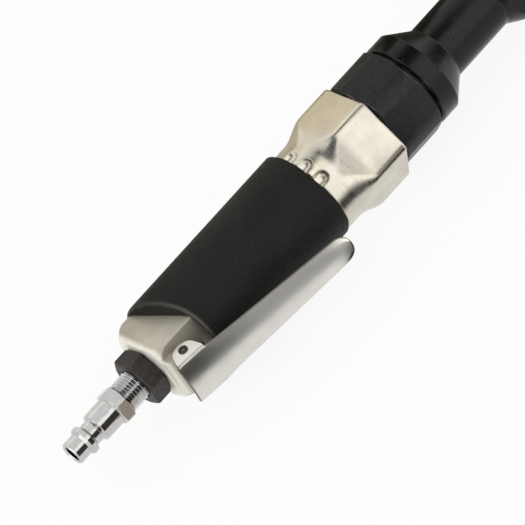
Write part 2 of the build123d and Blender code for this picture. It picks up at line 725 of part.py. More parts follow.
def rear_end_plate():
    """Rear plate, with the air ports into the cylinder."""
    plate = end_plate(MOTOR_X + FACE_GAP, MOTOR_X + FACE_GAP)
    port = bar_x(INLET_PORT_D, MOTOR_X, REAR_PLATE_END, 0, CYLINDER_BORE_D / 2)
    for angle in (-INLET_PORT_ANGLE, INLET_PORT_ANGLE):
        plate -= around_x(port, angle)
    return plate


def front_bearing_x():
    """Rear face of the front bearing, whose front face is flush with its end plate."""
    return MOTOR_END - BEARING_WIDTH - FACE_GAP


def front_end_plate():
    """Front plate."""
    return end_plate(FRONT_PLATE_X + FACE_GAP, front_bearing_x())


def dowel_x0():
    """Rear end of the dowel."""
    return REAR_PLATE_END - END_PLATE_LENGTH / 2


def dowel_x1():
    """Front end of the dowel."""
    return FRONT_PLATE_X + END_PLATE_LENGTH / 2


def cylinder():
    """Motor cylinder with an offset bore and exhaust ports."""
    start = REAR_PLATE_END + FACE_GAP
    body = bar_x(MOTOR_BORE_D - 2 * FIT_GAP, start, FRONT_PLATE_X)
    body -= bar_x(CYLINDER_BORE_D, start, FRONT_PLATE_X, 0, CYLINDER_OFFSET)
    body -= bar_x(DOWEL_D + 2 * FIT_GAP, start, FRONT_PLATE_X, 0, -DOWEL_R)
    for angle in FLUTE_ANGLES:
        body -= around_x(bar_z(EXHAUST_PORT_D, 0, MOTOR_BORE_D, EXHAUST_X), angle)
    return body


def cylinder_dowel():
    """Dowel that lines up the cylinder and its plates."""
    return bar_x(DOWEL_D, dowel_x0() + FACE_GAP, dowel_x1() - FACE_GAP, 0, -DOWEL_R)


def slot_floor():
    """Radius of the bottom of the rotor's blade slots."""
    return ROTOR_D / 2 - BLADE_SINK - BLADE_HEIGHT - RUN_GAP


def rotor():
    """Slotted rotor with a shaft through both bearings and a thin end for the sun gear."""
    start = REAR_PLATE_END + END_GAP
    end = FRONT_PLATE_X - END_GAP
    shaft_r = ROTOR_SHAFT_D / 2
    rotor_r = ROTOR_D / 2
    pinion_r = PINION_SHAFT_D / 2
    body = turned([
        (MOTOR_X + FACE_GAP, shaft_r), (start, shaft_r), (start, rotor_r), (end, rotor_r),
        (end, shaft_r), (MOTOR_END, shaft_r), (MOTOR_END, pinion_r), (GEAR_END, pinion_r),
    ])
    half = BLADE_THICK / 2 + RUN_GAP
    slot = block(start, end, -half, half, slot_floor(), ROTOR_D)
    for blade in range(BLADE_COUNT):
        body -= around_x(slot, 360 * blade / BLADE_COUNT)
    return body


def rotor_blade(index):
    """Sliding blade, sunk to the bottom of its slot."""
    half = BLADE_THICK / 2
    low = slot_floor() + RUN_GAP
    start = REAR_PLATE_END + END_GAP
    blade = block(start, FRONT_PLATE_X - END_GAP, -half, half, low, low + BLADE_HEIGHT)
    return around_x(blade, 360 * index / BLADE_COUNT)


def bearing_race(x0):
    """Ring of space that the balls run in."""
    return Pos(x0 + BEARING_WIDTH / 2, 0, 0) * Rot(0, 90, 0) * Torus(RACE_R, BALL_D / 2 + RUN_GAP)


def bearing_outer(x0):
    """Outer ring of a ball bearing."""
    return tube_x(BEARING_D, 2 * (RACE_R + RACE_SHOULDER), x0, x0 + BEARING_WIDTH) - bearing_race(x0)


def bearing_inner(x0):
    """Inner ring of a ball bearing."""
    bore = ROTOR_SHAFT_D + 2 * FIT_GAP
    return tube_x(2 * (RACE_R - RACE_SHOULDER), bore, x0, x0 + BEARING_WIDTH) - bearing_race(x0)


def bearing_balls(x0):
    """Balls of a bearing, evenly spaced."""
    ball = Pos(x0 + BEARING_WIDTH / 2, 0, RACE_R) * Sphere(BALL_D / 2)
    return Part() + [around_x(ball, 360 * index / BALL_COUNT) for index in range(BALL_COUNT)]


def gear_case():
    """Hexagon gear case with a threaded spigot behind and a threaded seat in front."""
    case = hex_bar(CASE_AF, CASE_CORNER_D, CASE_X, CASE_END, CASE_CORNER_ANGLE)
    case += bar_x(CASE_THREAD_D, MOTOR_END + FACE_GAP, CASE_X)
    case -= bar_x(CASE_BORE_D, MOTOR_END, CASE_END)
    return case - bar_x(CASE_SEAT_D, RING_X, CASE_END)


def ring_gear():
    """Ring with inside teeth, held in the gear case."""
    pitch_d = MODULE * RING_TEETH
    gap = pi * MODULE / 2 + BACKLASH
    half_pitch = 180 / RING_TEETH
    teeth = toothed(RING_TEETH, RING_ROOT_D, pitch_d - 2 * ADDENDUM, gap, half_pitch)
    start = RING_X + FACE_GAP
    return bar_x(RING_D, start, RING_END) - prism_x(teeth, start, RING_END)


def sun_gear():
    """Gear on the rotor's thin end."""
    gear = prism_x(external_gear(SUN_TEETH), GEAR_X, GEAR_END)
    return gear - bar_x(PINION_SHAFT_D + 2 * FIT_GAP, GEAR_X, GEAR_END)


def planet_angle(index):
    """Place of a planet round the tool's axis, counted from +Y."""
    return 360 * index / PLANET_COUNT


def planet_gear(index):
    """Gear between the sun and the ring, on its pin."""
    half_pitch = 180 / PLANET_TEETH
    gear = prism_x(external_gear(PLANET_TEETH, half_pitch), GEAR_X, GEAR_END)
    gear -= bar_x(PLANET_PIN_D + 2 * RUN_GAP, GEAR_X, GEAR_END)
    return around_x(Pos(0, PLANET_R, 0) * gear, planet_angle(index))


def planet_pin(index):
    """Pin of a planet, pressed into the carrier."""
    return around_x(bar_x(PLANET_PIN_D, GEAR_X, CARRIER_END, PLANET_R), planet_angle(index))


def crankshaft():
    """Planet carrier, shaft and crank pin in one piece."""
    shaft = bar_x(CARRIER_D, CARRIER_X, CARRIER_END) + bar_x(CRANK_D, CARRIER_END, CRANK_PIN_X)
    shaft += bar_x(CRANK_PIN_D, CRANK_PIN_X, CRANK_PIN_X + CRANK_PIN_LENGTH, CRANK_THROW)
    hole = bar_x(PLANET_PIN_D + 2 * FIT_GAP, CARRIER_X, CARRIER_END, PLANET_R)
    for index in range(PLANET_COUNT):
        shaft -= around_x(hole, planet_angle(index))
    return shaft


def crank_bush(x0):
    """Bronze bush of the crankshaft."""
    return tube_x(CRANK_BUSH_D, CRANK_D + 2 * RUN_GAP, x0, x0 + CRANK_BUSH_LENGTH)


def rear_bush_x():
    """Rear face of the rear bush, just in front of the carrier."""
    return CARRIER_END + 2 * END_GAP


def drive_bushing():
    """Barrel-shaped bushing on the crank pin, between the yoke's prongs."""
    start = CRANK_PIN_X + CRANK_PIN_LENGTH - DRIVE_BUSH_LENGTH - END_GAP
    end = start + DRIVE_BUSH_LENGTH
    r = DRIVE_BUSH_D / 2
    barrel = turned([
        (start, r - DRIVE_BUSH_EDGE / 2), (start + DRIVE_BUSH_EDGE, r),
        (end - DRIVE_BUSH_EDGE, r), (end, r - DRIVE_BUSH_EDGE / 2),
    ])
    return Pos(0, CRANK_THROW, 0) * (barrel - bar_x(CRANK_PIN_D + 2 * RUN_GAP, start, end))


def head_neck():
    """Spigot, groove, collar, cone and neck of the ratchet head."""
    collar_r = COLLAR_D / 2
    seat_r = RING_D / 2
    shoulder = CASE_END + FACE_GAP
    return turned([
        (HEAD_X, seat_r), (shoulder, seat_r), (shoulder, HEAD_GROOVE_D / 2),
        (GROOVE_END, HEAD_GROOVE_D / 2), (GROOVE_END, collar_r - COLLAR_EDGE),
        (GROOVE_END + COLLAR_EDGE, collar_r), (COLLAR_END, collar_r),
        (NECK_X, NECK_D / 2), (EYE_X - EYE_D / 2, NECK_D / 2),
    ])


def head_eye():
    """Flat eye that tapers back into the neck, with rounded edges."""
    start = EYE_X - HEAD_SHOULDER
    half = HEAD_SHOULDER_WIDTH / 2
    eye_r = EYE_D / 2
    reach = hypot(HEAD_SHOULDER, half)
    tangent = atan2(half, -HEAD_SHOULDER) - acos(eye_r / reach)
    touch_x = EYE_X + eye_r * cos(tangent)
    touch_z = eye_r * sin(tangent)
    sunk = 2 * EYE_EDGE_R
    back = half - sunk * (touch_z - half) / (touch_x - start)
    sides = [(start - sunk, -back), (touch_x, -touch_z), (touch_x, touch_z), (start - sunk, back)]
    plan = make_face(Polyline(*sides, close=True)) + Pos(EYE_X, 0) * Circle(eye_r)
    slab = Rot(90, 0, 0) * extrude(plan, amount=CHEEK_Y, both=True)
    rims = slab.edges().group_by(Axis.Y)
    slab = fillet(rims[0] + rims[-1], EYE_EDGE_R)
    neck_r = NECK_D / 2 - END_GAP
    spread_x = HEAD_SHOULDER + eye_r
    spread = neck_r + spread_x * tan(radians(HEAD_SPREAD))
    return slab & turned([(start - sunk, neck_r), (start, neck_r), (start + spread_x, spread)])


def ratchet_head():
    """Head with the crank's bore, a pocket for the yoke's tail and two cheeks round the yoke."""
    body = head_neck() + head_eye()
    body -= bar_x(CARRIER_D + 4 * END_GAP, HEAD_X, CARRIER_END + END_GAP)
    body -= bar_x(CRANK_BUSH_D + 2 * FIT_GAP, CARRIER_END, CRANK_PIN_X + END_GAP)
    tail = YOKE_TAIL_THICK / 2 + END_GAP
    sweep = FORK_HALF + YOKE_PRONG + YOKE_TAIL_REACH * tan(radians(YOKE_SWING)) + END_GAP
    gap = YOKE_THICK / 2 + END_GAP
    slot_x = EYE_X - YOKE_D / 2 - 2 * END_GAP
    body -= block(CRANK_PIN_X, EYE_X, -tail, tail, -sweep, sweep)
    body -= block(slot_x, EYE_X + EYE_D, -gap, gap, -EYE_D, EYE_D)
    body -= bar_y(DRUM_D + 2 * RUN_GAP, 0, EYE_THICK, EYE_X)
    return body - bar_y(JOURNAL_D + 2 * RUN_GAP, -EYE_THICK, 0, EYE_X)


def ratchet_bore():
    """Star outline of the yoke's inside teeth."""
    corners = []
    for step in range(2 * YOKE_TEETH):
        r = YOKE_TIP_D / 2 + YOKE_TOOTH * (step % 2)
        angle = pi * step / YOKE_TEETH
        corners.append((r * cos(angle), r * sin(angle)))
    return make_face(Polyline(*corners, close=True))


def yoke():
    """Toothed ring with a forked tail that the crank swings."""
    half = YOKE_THICK / 2
    tail = YOKE_TAIL_THICK / 2
    prong = FORK_HALF + YOKE_PRONG
    body = bar_y(YOKE_D, -half, half)
    body += block(-YOKE_TAIL_REACH, 0, -tail, tail, -prong, prong)
    body -= block(-YOKE_TAIL_REACH, -YOKE_SLOT_END, -tail, tail, -FORK_HALF, FORK_HALF)
    return at_eye(body - Rot(90, 0, 0) * extrude(ratchet_bore(), amount=YOKE_THICK, both=True))


def anvil():
    """Drum with the square drive, the pawl's pocket and a journal for the retaining ring."""
    half = SQUARE / 2
    square = block(-half, half, DRUM_FACE, SQUARE_END, -half, half)
    square = chamfer(square.faces().sort_by(Axis.Y)[-1].edges(), SQUARE_EDGE)
    body = bar_y(DRUM_D, DRUM_BACK, DRUM_FACE) + square
    body += bar_y(JOURNAL_D, JOURNAL_END, DRUM_BACK)
    groove_end = CIRCLIP_Y - CIRCLIP_THICK - FACE_GAP
    body -= tube_y(JOURNAL_D, JOURNAL_D - 2 * CIRCLIP_BITE, groove_end, CIRCLIP_Y + FACE_GAP)
    body -= bar_y(KNOB_STEM_D + 2 * RUN_GAP, JOURNAL_END, POCKET_HALF)
    body -= block(POCKET_X, DRUM_D, -POCKET_HALF, POCKET_HALF, -DRUM_D, DRUM_D)
    sweep = PLUNGER_TIP * sin(radians(KNOB_SWING / 2)) + PLUNGER_D
    relief = PLUNGER_D / 2 + END_GAP
    body -= block(0, POCKET_X, -relief, relief, -sweep, sweep)
    pin_d = PAWL_PIN_D + 2 * FIT_GAP
    body -= bar_y(pin_d, DRUM_BACK, POCKET_HALF + PAWL_PIN_DEPTH + FACE_GAP, PAWL_PIVOT)
    body -= bar_x(SOCKET_BALL_D + 2 * RUN_GAP, SOCKET_HOLE_FLOOR, SQUARE, socket_ball_y())
    return at_eye(body)


def socket_ball_y():
    """Y of the socket ball."""
    return SQUARE_END - SOCKET_BALL_SETBACK


def socket_ball_x():
    """Distance of the ball's middle from the drive's axis."""
    return SQUARE / 2 + SOCKET_BALL_PROUD - SOCKET_BALL_D / 2


def socket_ball():
    """Sprung ball that holds a socket on the square."""
    return at_eye(Pos(socket_ball_x(), socket_ball_y(), 0) * Sphere(SOCKET_BALL_D / 2))


def socket_ball_spring():
    """Envelope of the spring behind the socket ball."""
    d = SOCKET_BALL_D - 2 * SOCKET_SPRING_WIRE
    end = socket_ball_x() - SOCKET_BALL_D / 2 - FACE_GAP
    bore = d - 2 * SOCKET_SPRING_WIRE
    return at_eye(tube_x(d, bore, SOCKET_HOLE_FLOOR + FACE_GAP, end, socket_ball_y()))


def thrust_washer():
    """Washer between the head and the retaining ring."""
    return at_eye(tube_y(WASHER_D, JOURNAL_D + 2 * RUN_GAP, WASHER_Y - WASHER_THICK, WASHER_Y))


def retaining_ring():
    """Open snap ring in the journal's groove."""
    bore = JOURNAL_D - 2 * CIRCLIP_BITE + 2 * FIT_GAP
    ring = tube_y(CIRCLIP_D, bore, CIRCLIP_Y - CIRCLIP_THICK, CIRCLIP_Y)
    half = CIRCLIP_GAP / 2
    return at_eye(ring - block(-CIRCLIP_D, 0, 2 * CIRCLIP_Y, 0, -half, half))


def pawl():
    """Two-ended pawl, rocked towards the +Z side."""
    half = POCKET_HALF - END_GAP
    outline = Circle(PAWL_R) & (Pos(PAWL_BACK + PAWL_R / 2, 0) * Rectangle(PAWL_R, 2 * PAWL_HALF))
    body = Rot(90, 0, 0) * extrude(outline, amount=half, both=True)
    body -= bar_y(PAWL_PIN_D + 2 * RUN_GAP, -half, half, PAWL_PIVOT)
    rocked = Pos(PAWL_PIVOT, 0, 0) * Rot(0, PAWL_ROCK / 2, 0) * Pos(-PAWL_PIVOT, 0, 0) * body
    return at_eye(rocked)


def pawl_pin():
    """Pin that the pawl rocks on."""
    return at_eye(bar_y(PAWL_PIN_D, DRUM_BACK, POCKET_HALF + PAWL_PIN_DEPTH, PAWL_PIVOT))


def reverse_knob():
    """Knob with scallops and a finger bar, on a stem that carries the pawl's plunger."""
    top = KNOB_Y - KNOB_THICK
    knob = bar_y(KNOB_D, top, KNOB_Y) + bar_y(KNOB_STEM_D, KNOB_Y, POCKET_HALF - END_GAP)
    scallop = bar_y(KNOB_SCALLOP_D, top, KNOB_Y, KNOB_D / 2 + KNOB_SCALLOP_D / 4)
    for index in range(KNOB_SCALLOPS):
        knob -= Rot(0, 360 * index / KNOB_SCALLOPS, 0) * scallop
    half = KNOB_GRIP_WIDTH / 2
    reach = KNOB_D / 2 - KNOB_SCALLOP_D / 2
    grip = block(-reach, reach, top - KNOB_GRIP_HEIGHT, top, -half, half)
    grip = fillet(grip.edges().filter_by(Axis.Y), half / 2)
    knob += grip
    knob -= bar_x(PLUNGER_D + 2 * RUN_GAP, 0, KNOB_STEM_D)
    return at_eye(knob, -KNOB_SWING / 2)


def pawl_plunger():
    """Round-ended plunger that rocks the pawl."""
    r = PLUNGER_D / 2
    tip = turned([(PLUNGER_TIP - PLUNGER_LENGTH, r), (PLUNGER_TIP - r / 2, r), (PLUNGER_TIP, r / 2)])
    return at_eye(tip, -KNOB_SWING / 2)


def pawl_plunger_spring():
    """Envelope of the spring behind the plunger."""
    end = PLUNGER_TIP - PLUNGER_LENGTH - FACE_GAP
    bore = PLUNGER_D - 2 * PLUNGER_SPRING_WIRE
    return at_eye(tube_x(PLUNGER_D, bore, FACE_GAP, end), -KNOB_SWING / 2)


def nodes():
    """Every piece under its node's name."""
    rear_x = MOTOR_X + FACE_GAP
    front_x = front_bearing_x()
    pieces = {
        "inlet_plug": inlet_plug(),
        "inlet_bush": inlet_bush(),
        "inlet_screen": inlet_screen(),
        "housing": housing(),
        "grip_sleeve": grip_sleeve(),
        "lever": lever(),
        "lever_pin": lever_pin(),
        "valve_stem": valve_stem(),
        "valve_disc": valve_disc(),
        "valve_seat": valve_seat(),
        "valve_spring": valve_spring(),
        "valve_cap": valve_cap(),
        "valve_cap_o_ring": valve_cap_o_ring(),
        "stem_o_ring": stem_o_ring(),
        "rear_end_plate": rear_end_plate(),
        "front_end_plate": front_end_plate(),
        "cylinder": cylinder(),
        "cylinder_dowel": cylinder_dowel(),
        "rotor": rotor(),
        "rear_bearing_outer": bearing_outer(rear_x),
        "rear_bearing_inner": bearing_inner(rear_x),
        "rear_bearing_balls": bearing_balls(rear_x),
        "front_bearing_outer": bearing_outer(front_x),
        "front_bearing_inner": bearing_inner(front_x),
        "front_bearing_balls": bearing_balls(front_x),
        "gear_case": gear_case(),
        "ring_gear": ring_gear(),
        "sun_gear": sun_gear(),
        "crankshaft": crankshaft(),
        "crank_bush_rear": crank_bush(rear_bush_x()),
        "crank_bush_front": crank_bush(CRANK_PIN_X - CRANK_BUSH_LENGTH - END_GAP),
        "drive_bushing": drive_bushing(),
        "ratchet_head": ratchet_head(),
        "yoke": yoke(),
        "anvil": anvil(),
        "socket_ball": socket_ball(),
        "socket_ball_spring": socket_ball_spring(),
        "thrust_washer": thrust_washer(),
        "retaining_ring": retaining_ring(),
        "pawl": pawl(),
        "pawl_pin": pawl_pin(),
        "reverse_knob": reverse_knob(),
        "pawl_plunger": pawl_plunger(),
        "pawl_plunger_spring": pawl_plunger_spring(),
    }
    for index in range(BLADE_COUNT):
        pieces[f"rotor_blade_{index + 1}"] = rotor_blade(index)
    for index in range(PLANET_COUNT):
        pieces[f"planet_gear_{index + 1}"] = planet_gear(index)
        pieces[f"planet_pin_{index + 1}"] = planet_pin(index)
    return pieces


os.makedirs("parts", exist_ok=True)
for name, piece in nodes().items():
    export_step(piece, f"parts/{name}.step")
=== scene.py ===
import json
import logging
from dataclasses import dataclass
from enum import Enum
from math import cos, pi, radians, sin, tan

import bmesh
import bpy
import numpy as np
from mathutils import Matrix, Vector


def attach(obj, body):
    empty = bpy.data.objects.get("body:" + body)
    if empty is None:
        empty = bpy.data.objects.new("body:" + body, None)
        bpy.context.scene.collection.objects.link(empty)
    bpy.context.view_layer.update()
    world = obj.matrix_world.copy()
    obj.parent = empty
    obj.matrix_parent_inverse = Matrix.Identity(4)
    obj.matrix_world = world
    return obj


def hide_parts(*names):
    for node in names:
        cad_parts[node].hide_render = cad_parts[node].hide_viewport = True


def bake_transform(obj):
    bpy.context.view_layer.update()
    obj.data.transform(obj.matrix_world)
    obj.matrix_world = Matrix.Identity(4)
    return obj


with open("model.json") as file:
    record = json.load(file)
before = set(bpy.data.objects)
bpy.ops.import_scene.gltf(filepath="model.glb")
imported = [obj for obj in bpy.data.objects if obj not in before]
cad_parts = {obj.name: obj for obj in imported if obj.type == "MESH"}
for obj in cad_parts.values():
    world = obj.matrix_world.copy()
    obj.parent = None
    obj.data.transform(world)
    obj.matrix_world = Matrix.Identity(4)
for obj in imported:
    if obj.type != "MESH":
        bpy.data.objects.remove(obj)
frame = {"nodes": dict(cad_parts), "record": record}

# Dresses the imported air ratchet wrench: finishes for its metal, a grained rubber grip, a crowned
# throttle lever, three wound springs, a plain studio and the photograph's camera. Shapes are worked
# out in millimetres and put in as metres.

Tree = bpy.types.NodeTree
Node = bpy.types.Node
Socket = bpy.types.NodeSocket
Span = tuple[float, float]
Triple = tuple[float, float, float]

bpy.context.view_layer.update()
LOG = logging.getLogger("air_ratchet")
MM = 0.001
WHITE = "#ffffff"

# Edges sharper than this many degrees stay hard on a smooth piece.
SHARP_ANGLE = 60.0
# Points nearer than the first are merged and edges shorter than the second dissolved; in metres.
WELD, SLIVER = 1e-6, 1e-7
# Point attribute that carries painted light: a painted highlight line along the sleeve's rear rim and painted
# shade along the lever's cut edge.
PAINTED_LIGHT = "wear_and_painted_light"
# Rays by which a finish rounds sharp edges for the light.
BEVEL_SAMPLES = 6
# Radians that a Wave texture turns over one unit of length at a scale of one.
WAVE_TURN = 20
# Numbers of a Mix node's colour inputs.
SHARE, FIRST, SECOND = 0, 6, 7
# Ranges of a cloudy pattern's value that are spread over a finish's tones or gloss.
WIDE, MIDDLE, UPPER = (0.3, 0.7), (0.35, 0.65), (0.35, 0.7)


class Lay(Enum):
    """Direction along which a tool's marks follow each other on a metal surface."""

    ALONG = "X"
    ACROSS = "Y"


def linear(hex_colour: str) -> tuple[float, float, float, float]:
    """Turn an sRGB hex colour into linear RGBA.

    Args:
        hex_colour: Six hexadecimal digits after a hash sign.

    Returns:
        Linear red, green, blue and an alpha of one.
    """
    parts = [int(hex_colour[i:i + 2], 16) / 255 for i in (1, 3, 5)]
    curve = [p / 12.92 if p <= 0.04045 else ((p + 0.055) / 1.055) ** 2.4 for p in parts]
    return (curve[0], curve[1], curve[2], 1.0)


def per_mm(size: float) -> float:
    """Give the texture scale of a pattern whose cells are this many millimetres wide."""
    return 1.0 / (size * MM)


def band_scale(period: float) -> float:
    """Give the Wave texture's scale for bands this many millimetres apart."""
    return 2 * pi / WAVE_TURN / (period * MM)


def blank_tree(owner: bpy.types.Material | bpy.types.World) -> Tree:
    """Give a material or world an empty node tree.

    Args:
        owner: The material or world.

    Returns:
        Its node tree.
    """
    owner.use_nodes = True
    owner.node_tree.nodes.clear()
    return owner.node_tree


def add(tree: Tree, kind: str, wires: dict | tuple = (), **settings: object) -> Node:
    """Add one node with its settings and links.

    Args:
        tree: Node tree that gets the node.
        kind: Blender's name of the node type, without the ShaderNode in front.
        wires: The inputs in their order, or some of them by name or number. Each is a value, a socket
            to link from, or a node whose first live output is linked.
        **settings: The node's own properties.

    Returns:
        The new node.
    """
    node = tree.nodes.new("ShaderNode" + kind)
    for key, value in settings.items():
        setattr(node, key, value)
    for key, value in wires.items() if isinstance(wires, dict) else enumerate(wires):
        if isinstance(value, Node):
            value = next(socket for socket in value.outputs if socket.enabled)
        if isinstance(value, Socket):
            tree.links.new(value, node.inputs[key])
        else:
            node.inputs[key].default_value = value
    return node


@dataclass(frozen=True)
class Finish:
    """A material and the process that left its surface; each kind draws its own pattern.

    It has two tones and two roughnesses, and says which values of a pattern are spread over them.
    Widths and depths of patterns are in millimetres.
    """

    name: str
    colour: str
    shade: str
    roughness: Span
    tone_reach: Span = MIDDLE
    gloss_reach: Span = WIDE

    def make(self) -> bpy.types.Material:
        """Build the material's node tree.

        Returns:
            The finished material.
        """
        material = bpy.data.materials.new(self.name)
        tree = blank_tree(material)
        place = add(tree, "TexCoord").outputs["Object"]
        shader = add(tree, "BsdfPrincipled", self.draw(tree, place))
        add(tree, "OutputMaterial", {"Surface": shader})
        return material

    def draw(self, tree: Tree, place: Socket) -> dict[str, object]:
        """Draw the finish's pattern; each kind has its own.

        Args:
            tree: Material's node tree.
            place: Object coordinates.

        Returns:
            The shader's inputs by name.
        """
        raise NotImplementedError

    def tones(self, tree: Tree, pattern: Node) -> Node:
        """Spread the two tones over a pattern.

        Args:
            tree: Material's node tree.
            pattern: The pattern.

        Returns:
            The colour.
        """
        share = add(tree, "MapRange", (pattern, *self.tone_reach, 0.0, 1.0))
        wires = {SHARE: share, FIRST: linear(self.colour), SECOND: linear(self.shade)}
        return add(tree, "Mix", wires, data_type="RGBA")

    def gloss(self, tree: Tree, pattern: Node) -> Node:
        """Spread the two roughnesses over a pattern, and give the roughness."""
        return add(tree, "MapRange", (pattern, *self.gloss_reach, *self.roughness))


@dataclass(frozen=True)
class MachinedMetal(Finish):
    """Turned, ground or drawn metal: close tool marks across the given axis, a faint uneven gloss."""

    tone_reach: Span = WIDE
    lay: Lay = Lay.ALONG
    mark: float = 0.35
    mark_depth: float = 0.004
    cloud: float = 4.0
    edge_r: float = 0.25

    def draw(self, tree: Tree, place: Socket) -> dict[str, object]:
        """Draw tool marks as bands across the lay, with clouds that vary gloss and colour.

        Args:
            tree: Material's node tree.
            place: Object coordinates.

        Returns:
            The shader's inputs by name.
        """
        cloud = add(tree, "TexNoise", {"Vector": place, "Scale": per_mm(self.cloud), "Detail": 3.0})
        wires = {"Vector": place, "Scale": band_scale(self.mark), "Distortion": 0.6, "Detail Scale": 2.0}
        marks = add(tree, "TexWave", wires, bands_direction=self.lay.value).outputs["Fac"]
        rounded = add(tree, "Bevel", {"Radius": self.edge_r * MM}, samples=BEVEL_SAMPLES)
        relief = add(tree, "Bump", {"Height": marks, "Distance": self.mark_depth * MM, "Normal": rounded})
        tone, gloss = self.tones(tree, cloud), self.gloss(tree, cloud)
        return {"Base Color": tone, "Roughness": gloss, "Normal": relief, "Metallic": 1.0}


@dataclass(frozen=True)
class BrightPlate(Finish):
    """Nickel-chrome plate over turned steel: a mirror with a cool cast, its turning marks just felt."""

    tone_reach: Span = UPPER
    gloss_reach: Span = UPPER
    cloud: float = 1.6
    ring: float = 0.5
    ring_depth: float = 0.002
    edge_r: float = 0.3

    def draw(self, tree: Tree, place: Socket) -> dict[str, object]:
        """Draw faint turning rings that ripple the mirror, and small clouds where handling dulls it.

        Args:
            tree: Material's node tree.
            place: Object coordinates.

        Returns:
            The shader's inputs by name.
        """
        cloud = add(tree, "TexNoise", {"Vector": place, "Scale": per_mm(self.cloud), "Detail": 3.0})
        wires = {"Vector": place, "Scale": band_scale(self.ring), "Distortion": 1.0}
        rings = add(tree, "TexWave", wires, bands_direction=Lay.ALONG.value).outputs["Fac"]
        rounded = add(tree, "Bevel", {"Radius": self.edge_r * MM}, samples=BEVEL_SAMPLES)
        relief = add(tree, "Bump", {"Height": rings, "Distance": self.ring_depth * MM, "Normal": rounded})
        tone, gloss = self.tones(tree, cloud), self.gloss(tree, cloud)
        return {"Base Color": tone, "Roughness": gloss, "Normal": relief, "Metallic": 1.0}


@dataclass(frozen=True)
class OxideBlack(Finish):
    """Black oxide on turned steel: near black, softly glossy, rubbed to bare steel at a few edges; on the
    bush these pale edges are also a painted highlight.
    """

    bare: str = "#8d8a84"
    metallic: float = 0.1
    specular: float = 0.3
    wear_and_painted_highlight: float = 0.8
    mottle: float = 2.2
    grit: float = 0.35
    grit_depth: float = 0.006
    patch: float = 6.0
    patch_reach: Span = (0.46, 0.62)
    speck: float = 0.8
    speck_reach: Span = (0.75, 0.80)
    speck_share: float = 0.35
    edge_r: float = 0.45
    edge_reach: Span = (0.995, 0.93)

    def draw(self, tree: Tree, place: Socket) -> dict[str, object]:
        """Mottle the oxide by clouds, and bare it in specks and, under coarser clouds, along edges.

        An edge is where the rounded normal leaves the flat one: the cosine between them falls.

        Args:
            tree: Material's node tree.
            place: Object coordinates.

        Returns:
            The shader's inputs by name.
        """
        mottle = add(tree, "TexNoise", {"Vector": place, "Scale": per_mm(self.mottle), "Detail": 5.0})
        grit = add(tree, "TexNoise", {"Vector": place, "Scale": per_mm(self.grit), "Detail": 2.0})
        patch = add(tree, "TexNoise", {"Vector": place, "Scale": per_mm(self.patch), "Detail": 4.0})
        speck = add(tree, "TexNoise", {"Vector": place, "Scale": per_mm(self.speck), "Detail": 1.0})
        rounded = add(tree, "Bevel", {"Radius": self.edge_r * MM}, samples=BEVEL_SAMPLES)
        flat = add(tree, "NewGeometry").outputs["Normal"]
        likeness = add(tree, "VectorMath", (rounded, flat), operation="DOT_PRODUCT")
        edge = add(tree, "MapRange", (likeness, *self.edge_reach, 0.0, 1.0))
        rub_and_painted_highlight = add(tree, "MapRange", (patch, *self.patch_reach, 0.0, self.wear_and_painted_highlight))
        wear_and_painted_light = add(tree, "Math", (edge, rub_and_painted_highlight), operation="MULTIPLY")
        specks = add(tree, "MapRange", (speck, *self.speck_reach, 0.0, self.speck_share))
        shown = add(tree, "Math", (wear_and_painted_light, specks), operation="MAXIMUM")
        wires = {SHARE: shown, FIRST: self.tones(tree, mottle), SECOND: linear(self.bare)}
        colour = add(tree, "Mix", wires, data_type="RGBA")
        relief = add(tree, "Bump", {"Height": grit, "Distance": self.grit_depth * MM, "Normal": rounded})
        return {"Base Color": colour, "Roughness": self.gloss(tree, mottle), "Normal": relief,
                "Metallic": self.metallic, "Specular IOR Level": self.specular}


